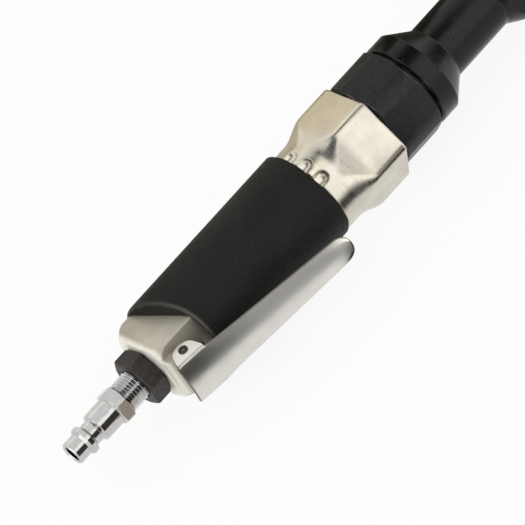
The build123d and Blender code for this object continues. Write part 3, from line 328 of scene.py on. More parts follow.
@dataclass(frozen=True)
class PolishedCasting(Finish):
    """Die-cast aluminium, belt polished: a warm grey mirror broken by fine scratches and small pits.

    Between the distances along the tool in its reaches, the matt tail turns to polish, and a painted
    highlight, a near-white tone on the tail's rounded end, gives way to the plain tones.
    """

    gloss_reach: Span = MIDDLE
    haze: float = 9.0
    belt: float = 0.8
    belt_stretch: Triple = (3.0, 0.12, 0.12)
    belt_depth: float = 0.006
    scratch: Span = (-0.05, 0.07)
    ripple: float = 5.0
    ripple_depth: float = 0.03
    pit: float = 2.4
    pit_reach: Span = (0.06, 0.1)
    pit_depth: float = 0.02
    edge_r: float = 0.9
    matt: float = 0.38
    matt_reach: Span = (62.0, 82.0)
    # Painted highlight: a near-white tone on the rounded end of the tail, where the light falls.
    painted_highlight_colour: str = "#f6f3ea"
    painted_highlight_reach: Span = (44.8, 46.2)

    def draw(self, tree: Tree, place: Socket) -> dict[str, object]:
        """Draw scratches as clouds drawn out round the tool, pits as sparse cells, haze as wide clouds.

        Args:
            tree: Material's node tree.
            place: Object coordinates.

        Returns:
            The shader's inputs by name.
        """
        haze = add(tree, "TexNoise", {"Vector": place, "Scale": per_mm(self.haze), "Detail": 4.0})
        drawn = add(tree, "Mapping", {"Vector": place, "Scale": self.belt_stretch})
        belt = add(tree, "TexNoise", {"Vector": drawn, "Scale": per_mm(self.belt), "Detail": 5.0})
        ripple = add(tree, "TexNoise", {"Vector": place, "Scale": per_mm(self.ripple), "Detail": 1.0})
        cells = add(tree, "TexVoronoi", {"Vector": place, "Scale": per_mm(self.pit)})
        pits = add(tree, "MapRange", (cells, *self.pit_reach, 0.0, 1.0))
        x = add(tree, "SeparateXYZ", (place,))
        scratch = add(tree, "MapRange", (belt, *WIDE, *self.scratch))
        polish = add(tree, "Math", (self.gloss(tree, haze), scratch), operation="ADD")
        tail = add(tree, "MapRange", (x, *(end * MM for end in self.matt_reach), self.matt, 0.0))
        rough = add(tree, "Math", (polish, tail), operation="ADD")
        # Painted highlight on the tail's rounded end, fading out between the two distances.
        painted_highlight = add(tree, "MapRange", (x, *(end * MM for end in self.painted_highlight_reach), 1.0, 0.0))
        wires = {SHARE: painted_highlight, FIRST: self.tones(tree, haze), SECOND: linear(self.painted_highlight_colour)}
        colour = add(tree, "Mix", wires, data_type="RGBA")
        relief = add(tree, "Bevel", {"Radius": self.edge_r * MM}, samples=BEVEL_SAMPLES)
        reliefs = ((ripple, self.ripple_depth), (belt, self.belt_depth), (pits, self.pit_depth))
        for height, depth in reliefs:
            relief = add(tree, "Bump", {"Height": height, "Distance": depth * MM, "Normal": relief})
        return {"Base Color": colour, "Roughness": rough, "Normal": relief, "Metallic": 1.0}


@dataclass(frozen=True)
class SatinPlate(Finish):
    """Satin nickel on pressed sheet: an even soft mirror with rolling lines, with painted shade in a dull
    tone along its cut edge.
    """

    gloss_reach: Span = MIDDLE
    # Painted shade: the dark tone laid along the sheet's cut edge.
    cut: str = "#77726a"
    haze: float = 7.0
    line: float = 0.5
    line_stretch: Triple = (0.08, 1.0, 1.0)
    line_depth: float = 0.0006

    def draw(self, tree: Tree, place: Socket) -> dict[str, object]:
        """Draw rolling lines as clouds drawn out along the lever; wide clouds vary the gloss.

        Args:
            tree: Material's node tree.
            place: Object coordinates.

        Returns:
            The shader's inputs by name.
        """
        haze = add(tree, "TexNoise", {"Vector": place, "Scale": per_mm(self.haze), "Detail": 3.0})
        drawn = add(tree, "Mapping", {"Vector": place, "Scale": self.line_stretch})
        lines = add(tree, "TexNoise", {"Vector": drawn, "Scale": per_mm(self.line), "Detail": 4.0})
        wear_and_painted_light = add(tree, "Attribute", attribute_name=PAINTED_LIGHT).outputs["Fac"]
        # Painted shade darkens the cut edge where the attribute marks it.
        wires = {SHARE: wear_and_painted_light, FIRST: self.tones(tree, haze), SECOND: linear(self.cut)}
        colour = add(tree, "Mix", wires, data_type="RGBA")
        relief = add(tree, "Bump", {"Height": lines, "Distance": self.line_depth * MM})
        return {"Base Color": colour, "Roughness": self.gloss(tree, haze), "Normal": relief, "Metallic": 1.0}


@dataclass(frozen=True)
class GrainedRubber(Finish):
    """Moulded nitrile rubber with a leather grain: deep black, a low broad sheen, pale dust specks.

    The grain is drawn coarser than the real 0.5 mm, so that it shows.
    """

    gloss_reach: Span = (0.2, 0.8)
    grain: float = 1.1
    grain_depth: float = 0.24
    grain_softness: float = 0.6
    fine: float = 0.4
    fine_depth: float = 0.07
    haze: float = 14.0
    # Painted highlight: the grey laid along the rear rim's outer edge, where the light catches it.
    rub_and_painted_highlight: str = "#77766f"
    painted_highlight_share: float = 0.55
    dust: str = "#6b6a66"
    dust_share: float = 0.4
    speck: float = 0.9
    speck_reach: Span = (0.76, 0.82)
    specular: float = 0.15

    def draw(self, tree: Tree, place: Socket) -> dict[str, object]:
        """Draw the grain as a net of creases round uneven cells, under dust and a painted highlight in grey
        along the rim.

        Args:
            tree: Material's node tree.
            place: Object coordinates.

        Returns:
            The shader's inputs by name.
        """
        wires = {"Vector": place, "Scale": per_mm(self.grain), "Smoothness": self.grain_softness}
        cells = add(tree, "TexVoronoi", wires, feature="SMOOTH_F1")
        fine = add(tree, "TexNoise", {"Vector": place, "Scale": per_mm(self.fine), "Detail": 3.0})
        haze = add(tree, "TexNoise", {"Vector": place, "Scale": per_mm(self.haze), "Detail": 4.0})
        speck = add(tree, "TexNoise", {"Vector": place, "Scale": per_mm(self.speck), "Detail": 1.0})
        wear_and_painted_light = add(tree, "Attribute", attribute_name=PAINTED_LIGHT).outputs["Fac"]
        # Painted highlight: grey where the piece's attribute marks it.
        rub_and_painted_highlight = add(tree, "MapRange", (wear_and_painted_light, 0.0, 1.0, 0.0, self.painted_highlight_share))
        dust = add(tree, "MapRange", (speck, *self.speck_reach, 0.0, self.dust_share))
        colour = self.tones(tree, haze)
        for share, over in ((rub_and_painted_highlight, self.rub_and_painted_highlight), (dust, self.dust)):
            colour = add(tree, "Mix", {SHARE: share, FIRST: colour, SECOND: linear(over)}, data_type="RGBA")
        creased = add(tree, "Bump", {"Height": cells, "Distance": self.grain_depth * MM})
        relief = add(tree, "Bump", {"Height": fine, "Distance": self.fine_depth * MM, "Normal": creased})
        return {"Base Color": colour, "Roughness": self.gloss(tree, cells), "Normal": relief,
                "Specular IOR Level": self.specular}


@dataclass(frozen=True)
class MouldedSeal(Finish):
    """Moulded nitrile seal: matt black with a grey bloom."""

    tone_reach: Span = UPPER
    bloom: float = 1.2
    bloom_depth: float = 0.01

    def draw(self, tree: Tree, place: Socket) -> dict[str, object]:
        """Draw the bloom as a millimetre cloud over the black.

        Args:
            tree: Material's node tree.
            place: Object coordinates.

        Returns:
            The shader's inputs by name.
        """
        bloom = add(tree, "TexNoise", {"Vector": place, "Scale": per_mm(self.bloom), "Detail": 3.0})
        relief = add(tree, "Bump", {"Height": bloom, "Distance": self.bloom_depth * MM})
        tone, gloss = self.tones(tree, bloom), self.gloss(tree, bloom)
        return {"Base Color": tone, "Roughness": gloss, "Normal": relief}


@dataclass(frozen=True)
class PressedLaminate(Finish):
    """Phenolic cotton laminate of the motor blades: brown resin with cloth layers along the blade."""

    layer: float = 0.3
    layer_stretch: Triple = (0.1, 1.0, 1.0)
    layer_depth: float = 0.01

    def draw(self, tree: Tree, place: Socket) -> dict[str, object]:
        """Draw the cloth layers as streaks drawn out along the blade.

        Args:
            tree: Material's node tree.
            place: Object coordinates.

        Returns:
            The shader's inputs by name.
        """
        drawn = add(tree, "Mapping", {"Vector": place, "Scale": self.layer_stretch})
        streak = add(tree, "TexNoise", {"Vector": drawn, "Scale": per_mm(self.layer), "Detail": 4.0})
        relief = add(tree, "Bump", {"Height": streak, "Distance": self.layer_depth * MM})
        tone, gloss = self.tones(tree, streak), self.gloss(tree, streak)
        return {"Base Color": tone, "Roughness": gloss, "Normal": relief}


FINISHES: dict[str, Finish] = {
    "plated_steel": BrightPlate("nickel_chrome_plate_turned", "#cac9c6", "#bab9bb", (0.05, 0.12)),
    # On the bush the rubbed edges are both wear and a painted highlight along the chamfer.
    "oxide_steel": OxideBlack("brown_oxide_steel_turned", "#302a27", "#262220", (0.42, 0.56),
                              specular=0.35, wear_and_painted_highlight=0.6),
    "black_steel": OxideBlack("black_oxide_steel_turned", "#1c1e20", "#151618", (0.30, 0.42)),
    "head_steel": OxideBlack("black_oxide_steel_polished", "#0e0e0c", "#0a0a09", (0.18, 0.28),
                             metallic=0.0, specular=0.26, wear_and_painted_highlight=0.4),
    "cast_aluminium": PolishedCasting("cast_aluminium_belt_polished", "#d6d1c4", "#ccc7bb", (0.24, 0.32)),
    "grip_rubber": GrainedRubber("nitrile_rubber_leather_grain", "#1f1f1e", "#1a1a19", (0.48, 0.62)),
    "seal_rubber": MouldedSeal("nitrile_rubber_moulded", "#1b1b1b", "#2a2a29", (0.5, 0.65)),
    "pressed_steel": SatinPlate("satin_nickel_pressed_steel", "#e0ded7", "#dad8d1", (0.30, 0.34)),
    "valve_brass": MachinedMetal("brass_turned", "#c9a65a", "#b8924a", (0.22, 0.34), lay=Lay.ACROSS),
    "bronze": MachinedMetal("sintered_bronze_sized", "#a9824f", "#946f42", (0.35, 0.5)),
    "spring_steel": MachinedMetal("spring_steel_drawn", "#a3a3a5", "#8e8e91", (0.25, 0.38), lay=Lay.ACROSS),
    "motor_iron": MachinedMetal("cast_iron_ground", "#8f8f91", "#7d7d80", (0.34, 0.48)),
    "blade_composite": PressedLaminate("phenolic_laminate_pressed", "#7a5233", "#5b3b25", (0.5, 0.65)),
    "bearing_steel": MachinedMetal("bearing_steel_polished", "#c8c8ca", "#b6b6b9", (0.08, 0.18)),
    "gear_steel": MachinedMetal("gear_steel_ground", "#a9a9ab", "#97979a", (0.25, 0.36)),
    "ratchet_steel": MachinedMetal("ratchet_steel_satin", "#b1b0ae", "#9e9d9b", (0.26, 0.38), lay=Lay.ACROSS),
    "knob_steel": MachinedMetal("knob_steel_bead_blasted", "#8e8d8b", "#7c7b79", (0.36, 0.48),
                                lay=Lay.ACROSS),
}

# The head is the same steel as the gear case, polished before it was blackened.
NODE_FINISHES = {"ratchet_head": "head_steel"}


def grid_object(name: str, points: np.ndarray, wear_and_painted_light: np.ndarray, ring: bool = True) -> bpy.types.Object:
    """Make an object from a grid of points whose columns close on themselves.

    Args:
        name: The piece's name.
        points: Array of rows, columns and x, y, z in millimetres.
        wear_and_painted_light: Share of painted light at each point, zero to one, kept as an attribute: a
            painted highlight on the sleeve's rim, painted shade on the lever's cut edge.
        ring: Whether the last row joins the first; otherwise both end rows are folded shut.

    Returns:
        The object, linked to the scene, at the origin.
    """
    rows, columns = points.shape[:2]
    index = np.arange(rows * columns).reshape(rows, columns)
    ahead = np.roll(index, -1, axis=0)
    quads = np.stack([index, np.roll(index, -1, axis=1), np.roll(ahead, -1, axis=1), ahead], axis=-1)
    quads = quads if ring else quads[:-1]
    mesh = bpy.data.meshes.new(name)
    mesh.from_pydata(points.reshape(-1, 3) * MM, [], quads.reshape(-1, 4))
    mesh.attributes.new(PAINTED_LIGHT, "FLOAT", "POINT").data.foreach_set("value", wear_and_painted_light.astype(np.float32).ravel())
    build = bmesh.new()
    build.from_mesh(mesh)
    bmesh.ops.remove_doubles(build, verts=build.verts, dist=WELD)
    bmesh.ops.dissolve_degenerate(build, edges=build.edges, dist=SLIVER)
    bmesh.ops.recalc_face_normals(build, faces=build.faces)
    build.to_mesh(mesh)
    build.free()
    mesh.polygons.foreach_set("use_smooth", np.ones(len(mesh.polygons), dtype=bool))
    mesh.set_sharp_from_angle(angle=radians(SHARP_ANGLE))
    made = bpy.data.objects.new(name, mesh)
    bpy.context.scene.collection.objects.link(made)
    return made


def around(x: np.ndarray, r: np.ndarray, angle: np.ndarray) -> np.ndarray:
    """Place a distance along the tool and a radius at an angle counted from +Z towards -Y.

    Args:
        x: Millimetres along the tool.
        r: Radius in millimetres.
        angle: Angle in radians.

    Returns:
        Points as an array whose last axis is x, y, z.
    """
    x, r, angle = np.broadcast_arrays(x, r, angle)
    return np.stack([x, -r * np.sin(angle), r * np.cos(angle)], axis=-1)


def bell(value: np.ndarray, middle: float, width: float) -> np.ndarray:
    """Rise from zero to one at the middle and fall again, on a bell curve of this half width."""
    return np.exp(-((value - middle) / width) ** 2)


def ease(value: np.ndarray, low: float, high: float) -> np.ndarray:
    """Rise from zero at the low end to one at the high end, level at both."""
    share = np.clip((value - low) / (high - low), 0.0, 1.0)
    return share * share * (3 - 2 * share)


@dataclass
class GripSleeve:
    """Rubber grip: a tube over the housing, cut on a slant that ends in a scoop for the lever.

    Sizes are in millimetres and angles in degrees. A wave of the front edge has a height, a number of
    waves round the tool and a phase in radians, and the flap and the nick have a height, an angle and
    a width.
    """

    start: float = 53.25
    end: float = 134.15
    radius: float = 20.3
    taper: float = 4.0
    taper_drop: float = 0.9
    taper_power: float = 1.5
    bore_r: float = 17.3
    bore_margin: float = 0.2
    tail_bore_r: float = 18.75
    tail_half: float = 13.55
    tail_end: float = 68.25
    skin_gap: float = 0.3
    scoop_r: float = 28.0
    scoop_x: float = 36.15
    scoop_y: float = -18.5
    slant: float = 21.8
    slant_fade: float = 0.8
    rim_r: float = 0.7
    bead: float = 0.22
    bead_width: float = 0.8
    bead_place: float = 1.1
    trim: float = 0.2
    waves: tuple[Triple, ...] = ((0.10, 5, 0.6), (0.07, 13, 2.1), (0.04, 29, 0.0))
    flap: Triple = (0.55, 112.0, 3.0)
    nick: Triple = (0.45, 104.0, 2.5)
    face_gap: float = 0.1
    face_width: float = 1.9
    # Painted highlight: a narrow grey line along the rear rim, strongest on the lever side where the light
    # falls.
    painted_highlight_place: float = 0.35
    painted_highlight_width: float = 0.55
    painted_highlight_depth: float = 1.4
    painted_highlight_least: float = 0.3
    painted_highlight_angle: float = 60.0
    painted_highlight_spread: float = 40.0
    turns: int = 360
    steps: int = 150
    crowd: Span = (0.25, 2.2)
    rim_steps: int = 9
    corner_steps: int = 7

    def rim(self, r: np.ndarray | float, angle: np.ndarray) -> np.ndarray:
        """Find where the rear rim lies.

        It is a slanted plane, which on the lever side runs on into the scoop's cylinder and on the
        far side stops at the plain end.

        Args:
            r: Radius at which the rim is wanted.
            angle: Angles round the tool.

        Returns:
            Distance along the tool for each angle.
        """
        off = -r * np.sin(angle) - self.scoop_y
        slant = radians(self.slant)
        scoop = np.sqrt(np.maximum(self.scoop_r ** 2 - off ** 2, 0.0))
        plane = self.scoop_r / cos(slant) - off * tan(slant)
        cut = np.where(off > self.scoop_r * sin(slant), plane, scoop)
        gap = self.scoop_x + cut - self.start
        return self.start + (gap + np.sqrt(gap ** 2 + self.slant_fade ** 2)) / 2

    def front(self, angle: np.ndarray) -> np.ndarray:
        """Find where the trimmed front edge lies.

        It has a few slow waves, and a nick beside a small flap on the lever side.

        Args:
            angle: Angles round the tool.

        Returns:
            Distance along the tool for each angle.
        """
        wave = sum(height * np.sin(count * angle + phase) for height, count, phase in self.waves)
        flap, nick = (height * bell(angle, radians(place), radians(width))
                      for height, place, width in (self.flap, self.nick))
        return self.end - self.trim + wave + flap - nick

    def outline(self, angle: np.ndarray) -> tuple[np.ndarray, np.ndarray]:
        """Work out the sleeve's closed section at each angle.

        The section runs up the rear rim on a quarter circle, along the outside with a bead just
        inside the rim, down the front edge on a quarter circle, and back along the stepped bore.

        Args:
            angle: Column of angles.

        Returns:
            Distance along the tool and radius, a row for each angle.
        """
        e = self.rim_r
        rear = self.rim(self.radius, angle)
        front = self.front(angle)
        corner = self.tail_half / self.tail_bore_r
        bore = self.tail_half / np.maximum(np.abs(np.cos(angle)), corner)
        step = self.tail_end + np.where(bore < self.bore_r, -self.skin_gap, self.skin_gap)
        turn = np.linspace(0, pi / 2, self.corner_steps)[None, :]
        along = np.linspace(0, 1, self.steps)[None, 1:-1]
        # Rows lie closer together near the rim, where the bead is.
        crowd, power = self.crowd
        along = (1 - crowd) * along + crowd * along ** power
        flat = rear + e + (front - rear - 2 * e) * along
        still = np.ones_like(angle)
        face = still * (self.end - self.face_gap)
        down = bore + (self.radius - e - bore) * np.linspace(0, 1, self.rim_steps)[None, :-1]
        x = [
            self.rim(down, angle), rear + e - e * np.cos(turn), flat, front - e + e * np.sin(turn),
            face, face, step, step, (self.rim(bore, angle) + step) / 2,
        ]
        r = [
            down, still * (self.radius - e + e * np.sin(turn)), self.radius + 0.0 * flat,
            still * (self.radius - e + e * np.cos(turn)),
            still * (self.bore_r + self.face_width), still * self.bore_r, still * self.bore_r, bore, bore,
        ]
        x, r = np.concatenate(x, axis=1), np.concatenate(r, axis=1)
        outside = r > self.radius - e / 2
        lip = self.bead * bell(x - rear, self.bead_place, self.bead_width)
        drop = self.taper_drop * np.clip(1 - (x - self.start) / self.taper, 0.0, 1.0) ** self.taper_power
        tapered = r > self.tail_bore_r + self.bore_margin
        return x, np.where(outside, r + lip, r) - np.where(tapered, drop, 0.0)

    def wear_and_painted_highlight(self, x: np.ndarray, r: np.ndarray, angle: np.ndarray) -> np.ndarray:
        """Work out where the painted highlight lies along the rear rim.

        It is a narrow grey line on the rim's outer edge, strongest on the lever side, where the light catches
        the rounded edge.

        Args:
            x: Distances along the tool.
            r: Radii.
            angle: Column of angles.

        Returns:
            Share of painted highlight at each point, zero to one.
        """
        line = bell(x - self.rim(self.radius, angle), self.painted_highlight_place, self.painted_highlight_width)
        near = bell(angle, radians(self.painted_highlight_angle), radians(self.painted_highlight_spread))
        side = self.painted_highlight_least + (1 - self.painted_highlight_least) * near
        return np.where(r > self.radius - self.painted_highlight_depth, line * side, 0.0)

    def build(self) -> bpy.types.Object:
        """Build the sleeve, ride it on the casing and put it in the CAD sleeve's place.

        Returns:
            The sleeve object.
        """
        angle = np.linspace(0, 2 * pi, self.turns, endpoint=False)[:, None]
        x, r = self.outline(angle)
        # The sleeve's mesh carries its painted highlight line as a point attribute.
        piece = grid_object("grip_sleeve_rubber", around(x, r, angle), self.wear_and_painted_highlight(x, r, angle))
        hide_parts("grip_sleeve")
        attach(piece, "casing")
        return piece


@dataclass
class ThrottleLever:
    """Pressed lever: one sheet, crowned along its tongue and bent down into two ears at the hinge.

    Sizes are in millimetres and angles in degrees.
    """

    pivot_x: float = 51.95
    pivot_y: float = -19.1
    open_angle: float = 9.2
    sheet: float = 1.5
    drawn_edge: float = 0.35
    drawn_run: float = 6.0
    drawn_from: float = 0.6
    cut_share: float = 0.6
    crown: float = 7.35
    crown_r: float = 25.0
    length: float = 73.0
    root_half: float = 9.2
    tip_half: float = 6.2
    tip_r: float = 5.2
    tip_least: float = 0.05
    ear_half: float = 10.2
    ear_back: float = 6.9
    ear_front: float = 7.2
    ear_top: float = 8.0
    ear_depth: float = 4.6
    ear_corner_r: float = 5.0
    ear_fade: Span = (-0.6, 1.4)
    bend_r: float = 2.0
    columns: int = 70
    rear_rows: int = 8
    ear_rows: int = 150
    ear_run: float = 3.0
    tongue_rows: int = 50
    tip_rows: int = 40
    lip_columns: int = 11

    def stations(self) -> np.ndarray:
        """Place the rows along the lever, closer together at its two ends and along the ears.

        Returns:
            Column of distances from the pivot.
        """
        half = self.sheet / 2
        rear = half * (1 - np.cos(np.linspace(0, pi / 2, self.rear_rows))) - self.ear_back
        tip = self.length - self.tip_r + self.tip_r * np.sin(np.linspace(0, pi / 2, self.tip_rows))
        ears = np.linspace(rear[-1], self.ear_front + self.ear_run, self.ear_rows)[1:]
        tongue = np.linspace(ears[-1], tip[0], self.tongue_rows)[1:-1]
        return np.concatenate([rear, ears, tongue, tip])[:, None]

    def ear_edge(self, x: np.ndarray) -> np.ndarray:
        """Give the height of the ears' edge above the pivot.

        The ears' sides lean in and run into a round top on arcs that touch both.

        Args:
            x: Column of distances from the pivot.

        Returns:
            Height for each row, far below the ears where they have ended.
        """
        side = np.where(x < 0, self.ear_back, self.ear_front)
        top, r = self.ear_top / 2, self.ear_corner_r
        lean = np.arctan((self.crown + self.ear_depth) / (side - top))
        off = np.abs(x) - top + r * np.tan(lean / 2)
        arc = self.ear_depth - r + np.sqrt(np.maximum(r ** 2 - np.maximum(off, 0.0) ** 2, 0.0))
        line = (side - np.abs(x)) * np.tan(lean) - self.crown
        return np.where(off < r * np.sin(lean), arc, line)

    def reach(self, x: np.ndarray, bend: Span) -> np.ndarray:
        """Work out half the sheet's breadth, measured along its middle surface.

        In the tongue it is the arc of the crown out to the tapered edge, whose tip is rounded. In the
        ears it is the crown, the bend and the wall up to the ears' edge. A smooth step joins the two
        where the ears end.

        Args:
            x: Column of distances from the pivot.
            bend: Where the bend starts and how long it is, along the middle surface.

        Returns:
            Half breadth for each row.
        """
        half = self.sheet / 2
        mid_r = self.crown_r - half
        share = (x - self.ear_front) / (self.length - self.ear_front)
        width = self.root_half + (self.tip_half - self.root_half) * np.clip(share, 0, 1)
        past = np.clip(x - (self.length - self.tip_r), 0, self.tip_r)
        width = width - self.tip_r + np.sqrt(self.tip_r ** 2 - past ** 2)
        tongue = mid_r * np.arcsin(np.maximum(width - half, self.tip_least) / mid_r)
        angle = bend[0] / mid_r
        low = half - self.crown + mid_r * (1 - cos(angle))
        high = low + (self.bend_r - half) * cos(angle)
        edge = self.ear_edge(x) - half
        ears = bend[0] + bend[1] * np.clip((edge - low) / (high - low), 0, 1) + np.maximum(edge - high, 0)
        fade = (self.ear_front + off for off in self.ear_fade)
        return tongue + (ears - tongue) * (1 - ease(x, *fade))

    def surface(self) -> tuple[np.ndarray, np.ndarray]:
        """Carry the bent section along the lever.

        The sheet's middle surface follows the crown's arc, then in the ears the bend's arc and a
        straight wall. The two faces lie half a sheet off it along the normal, drawn thinner towards
        the tongue's edges and joined by half circles, and the sheet thins to nothing on a quarter
        circle at both ends.

        Returns:
            Points by row and column, in millimetres, and which of them lie on the sheet's cut edge, which
            gets painted shade.
        """
        half = self.sheet / 2
        mid_r, inner_r = self.crown_r - half, self.bend_r - half
        lean = np.arcsin((self.ear_half - half - inner_r) / (mid_r - inner_r))
        bend = (float(mid_r * lean), float(inner_r * (pi / 2 - lean)))
        x = self.stations()
        across = np.linspace(0, 1, self.columns)[None, :]
        s = self.reach(x, bend) * across
        crown = np.minimum(s, bend[0]) / mid_r
        slope = crown + np.clip(s - bend[0], 0, bend[1]) / inner_r
        z = mid_r * np.sin(crown) + inner_r * (np.sin(slope) - np.sin(crown))
        y = half - self.crown + mid_r * (1 - np.cos(crown)) + inner_r * (np.cos(crown) - np.cos(slope))
        y = y + np.maximum(s - sum(bend), 0.0)
        edge = np.minimum(x + self.ear_back, self.length - x)
        thin = half * np.sqrt(1 - np.clip(1 - edge / half, 0, 1) ** 2)
        drawn = self.drawn_edge * ease(x, self.ear_front, self.ear_front + self.drawn_run)
        thin = thin * (1 - drawn * ease(across, self.drawn_from, 1.0))
        round_edge = np.linspace(0, pi, self.lip_columns)[None, 1:-1]
        end, lip = slope[:, -1:], thin[:, -1:]
        lip_y = y[:, -1:] + lip * (-np.cos(end) * np.cos(round_edge) + np.sin(end) * np.sin(round_edge))
        lip_z = z[:, -1:] + lip * (np.sin(end) * np.cos(round_edge) + np.cos(end) * np.sin(round_edge))
        side_y = [y - thin * np.cos(slope), lip_y, (y + thin * np.cos(slope))[:, ::-1]]
        side_z = [z + thin * np.sin(slope), lip_z, (z - thin * np.sin(slope))[:, ::-1]]
        near_y, near_z = np.concatenate(side_y, axis=1), np.concatenate(side_z, axis=1)
        y = np.concatenate([near_y, near_y[:, -2:0:-1]], axis=1)
        z = np.concatenate([near_z, -near_z[:, -2:0:-1]], axis=1)
        turn = radians(self.open_angle)
        along = self.pivot_x + x * cos(turn) + y * sin(turn)
        out = self.pivot_y - x * sin(turn) + y * cos(turn)
        # Painted shade: the half-round lip and the thinned ends of the sheet are marked for a dark tone.
        rim = np.concatenate([0 * slope, np.ones_like(lip_y), 0 * slope], axis=1)
        rim = np.concatenate([rim, rim[:, -2:0:-1]], axis=1)
        cut = np.maximum(rim, edge < self.cut_share * half)
        return np.stack([along, out, z], axis=-1), cut

    def build(self) -> bpy.types.Object:
        """Build the lever, ride it on its own body and put it in the CAD lever's place.

        Returns:
            The lever object.
        """
        points, cut = self.surface()
        piece = grid_object("throttle_lever_sheet", points, cut, ring=False)
        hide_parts("lever")
        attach(piece, "lever")
        return piece


@dataclass(frozen=True)
class CoilSpring:
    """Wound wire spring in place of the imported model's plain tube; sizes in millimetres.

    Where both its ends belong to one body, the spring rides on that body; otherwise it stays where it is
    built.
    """

    node: str
    bodies: tuple[str, str]
    first: Triple
    last: Triple
    diameter: float
    wire: float
    turns: float
    closed: float = 1.0
    narrow: float = 0.0
    steps: int = 40
    sides: int = 12

    def surface(self) -> np.ndarray:
        """Carry the wire's circle along a helix.

        The helix rises by one wire a turn in the closed turns at both ends, and evenly between them.
        Its radius shrinks evenly towards the last end, so that a conical spring's turns nest. The
        wire is closed at both ends by rows that shrink to a point.

        Returns:
            Points by row and column, in millimetres.
        """
        first, last = np.array(self.first), np.array(self.last)
        length = np.linalg.norm(last - first)
        axis = (last - first) / length
        level = np.cross(axis, (0.0, 0.0, 1.0))
        level = level / np.linalg.norm(level)
        turn = np.linspace(0, self.turns, int(self.turns * self.steps) + 1)[:, None]
        free = self.turns - 2 * self.closed
        pitch = (length - self.wire * (1 + 2 * self.closed)) / free
        end_turns = np.minimum(turn, self.closed) + np.clip(turn - self.turns + self.closed, 0, self.closed)
        rise = self.wire * (0.5 + end_turns) + pitch * np.clip(turn - self.closed, 0, free)
        radius = (self.diameter - self.wire) / 2 - self.narrow * turn / self.turns
        out = np.cos(2 * pi * turn) * level + np.sin(2 * pi * turn) * np.cross(axis, level)
        path = first + rise * axis + radius * out
        ahead = np.gradient(path, axis=0)
        side = np.cross(ahead / np.linalg.norm(ahead, axis=1, keepdims=True), out)
        angle = np.linspace(0, 2 * pi, self.sides, endpoint=False)[None, :, None]
        section = np.cos(angle) * out[:, None] + np.sin(angle) * side[:, None]
        size = np.full((len(path), 1, 1), self.wire / 2)
        path, section, size = (np.concatenate([a[:1], a, a[-1:]]) for a in (path, section, size))
        size[[0, -1]] = 0.0
        return path[:, None] + size * section

    def build(self) -> bpy.types.Object:
        """Build the spring, put it in the CAD tube's place, and join it to its body where both ends share
        one.

        Returns:
            The spring object.
        """
        points = self.surface()
        piece = grid_object(self.node + "_coil", points, np.zeros(points.shape[:2]), ring=False)
        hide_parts(self.node)
        fixed, moving = self.bodies
        if fixed == moving:
            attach(piece, fixed)
        else:
            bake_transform(piece)
        return piece


SPRINGS = (
    CoilSpring("valve_spring", ("casing", "valve"), (60.25, 7.0, 0.0), (60.25, -1.1, 0.0), 7.0, 0.9, 6.0),
    CoilSpring("socket_ball_spring", ("anvil", "socket_ball"), (274.85, 23.8, 0.0), (276.4, 23.8, 0.0),
               3.6, 0.3, 2.0, closed=0.0, narrow=0.65),
    CoilSpring("pawl_plunger_spring", ("reverse_knob", "reverse_knob"), (273.845, 0.0, 0.021),
               (275.93, 0.0, 0.993), 2.4, 0.4, 4.0),
)


@dataclass(frozen=True)
class SoftBox:
    """Square soft box that faces the tool; its size and distance are in metres.

    Its level is the share of plain white that it gives a surface facing it.
    """

    name: str
    toward: Triple
    size: float
    level: float
    colour: str
    away: float = 1.0


SOFT_BOXES = (
    SoftBox("far_soft_box", (0.28, 0.74, 0.62), 0.8, 0.05, "#fff4e6"),
    SoftBox("near_soft_box", (0.28, -0.85, 0.45), 0.95, 0.14, "#fffdf8"),
    SoftBox("rear_soft_box", (-0.90, -0.10, 0.30), 0.90, 0.19, "#fffdf8"),
)


@dataclass(frozen=True)
class Card:
    """Toned card near the tool that shows only in polished metal; sizes in millimetres.

    Where it has a front tone, it changes to that between the two distances along the tool in fade.
    """

    name: str
    corners: tuple[Triple, ...]
    tone: str
    front: str | None = None
    fade: Span = (0.0, 1.0)
    glow: float = 1.0


def standing(y: float, x: Span, z: Span) -> tuple[Triple, ...]:
    """Give the corners of an upright card along the tool."""
    return ((x[0], y, z[0]), (x[1], y, z[0]), (x[1], y, z[1]), (x[0], y, z[1]))


def lying(z: float, x: Span, y: Span) -> tuple[Triple, ...]:
    """Give the corners of a level card."""
    return ((x[0], y[0], z), (x[1], y[0], z), (x[1], y[1], z), (x[0], y[1], z))


# The floor just under the tool, cards on it, cards over the tool and the wall of cards beside the lever.
FLOOR_Z = -20.62
LOW_Z = FLOOR_Z + 1
ROOF_Z = 150
SIDE_Y = -60

PLUG_CORNERS = ((-40, SIDE_Y, FLOOR_Z), (44, SIDE_Y, FLOOR_Z), (44, SIDE_Y, 22), (-40, SIDE_Y, 36))
SIDE_CORNERS = ((44, SIDE_Y, FLOOR_Z), (118, SIDE_Y, FLOOR_Z), (118, SIDE_Y, 12), (44, SIDE_Y, 22))
FAR_CORNERS = ((75, 30, FLOOR_Z), (500, 30, FLOOR_Z), (500, 550, 300), (75, 550, 300))

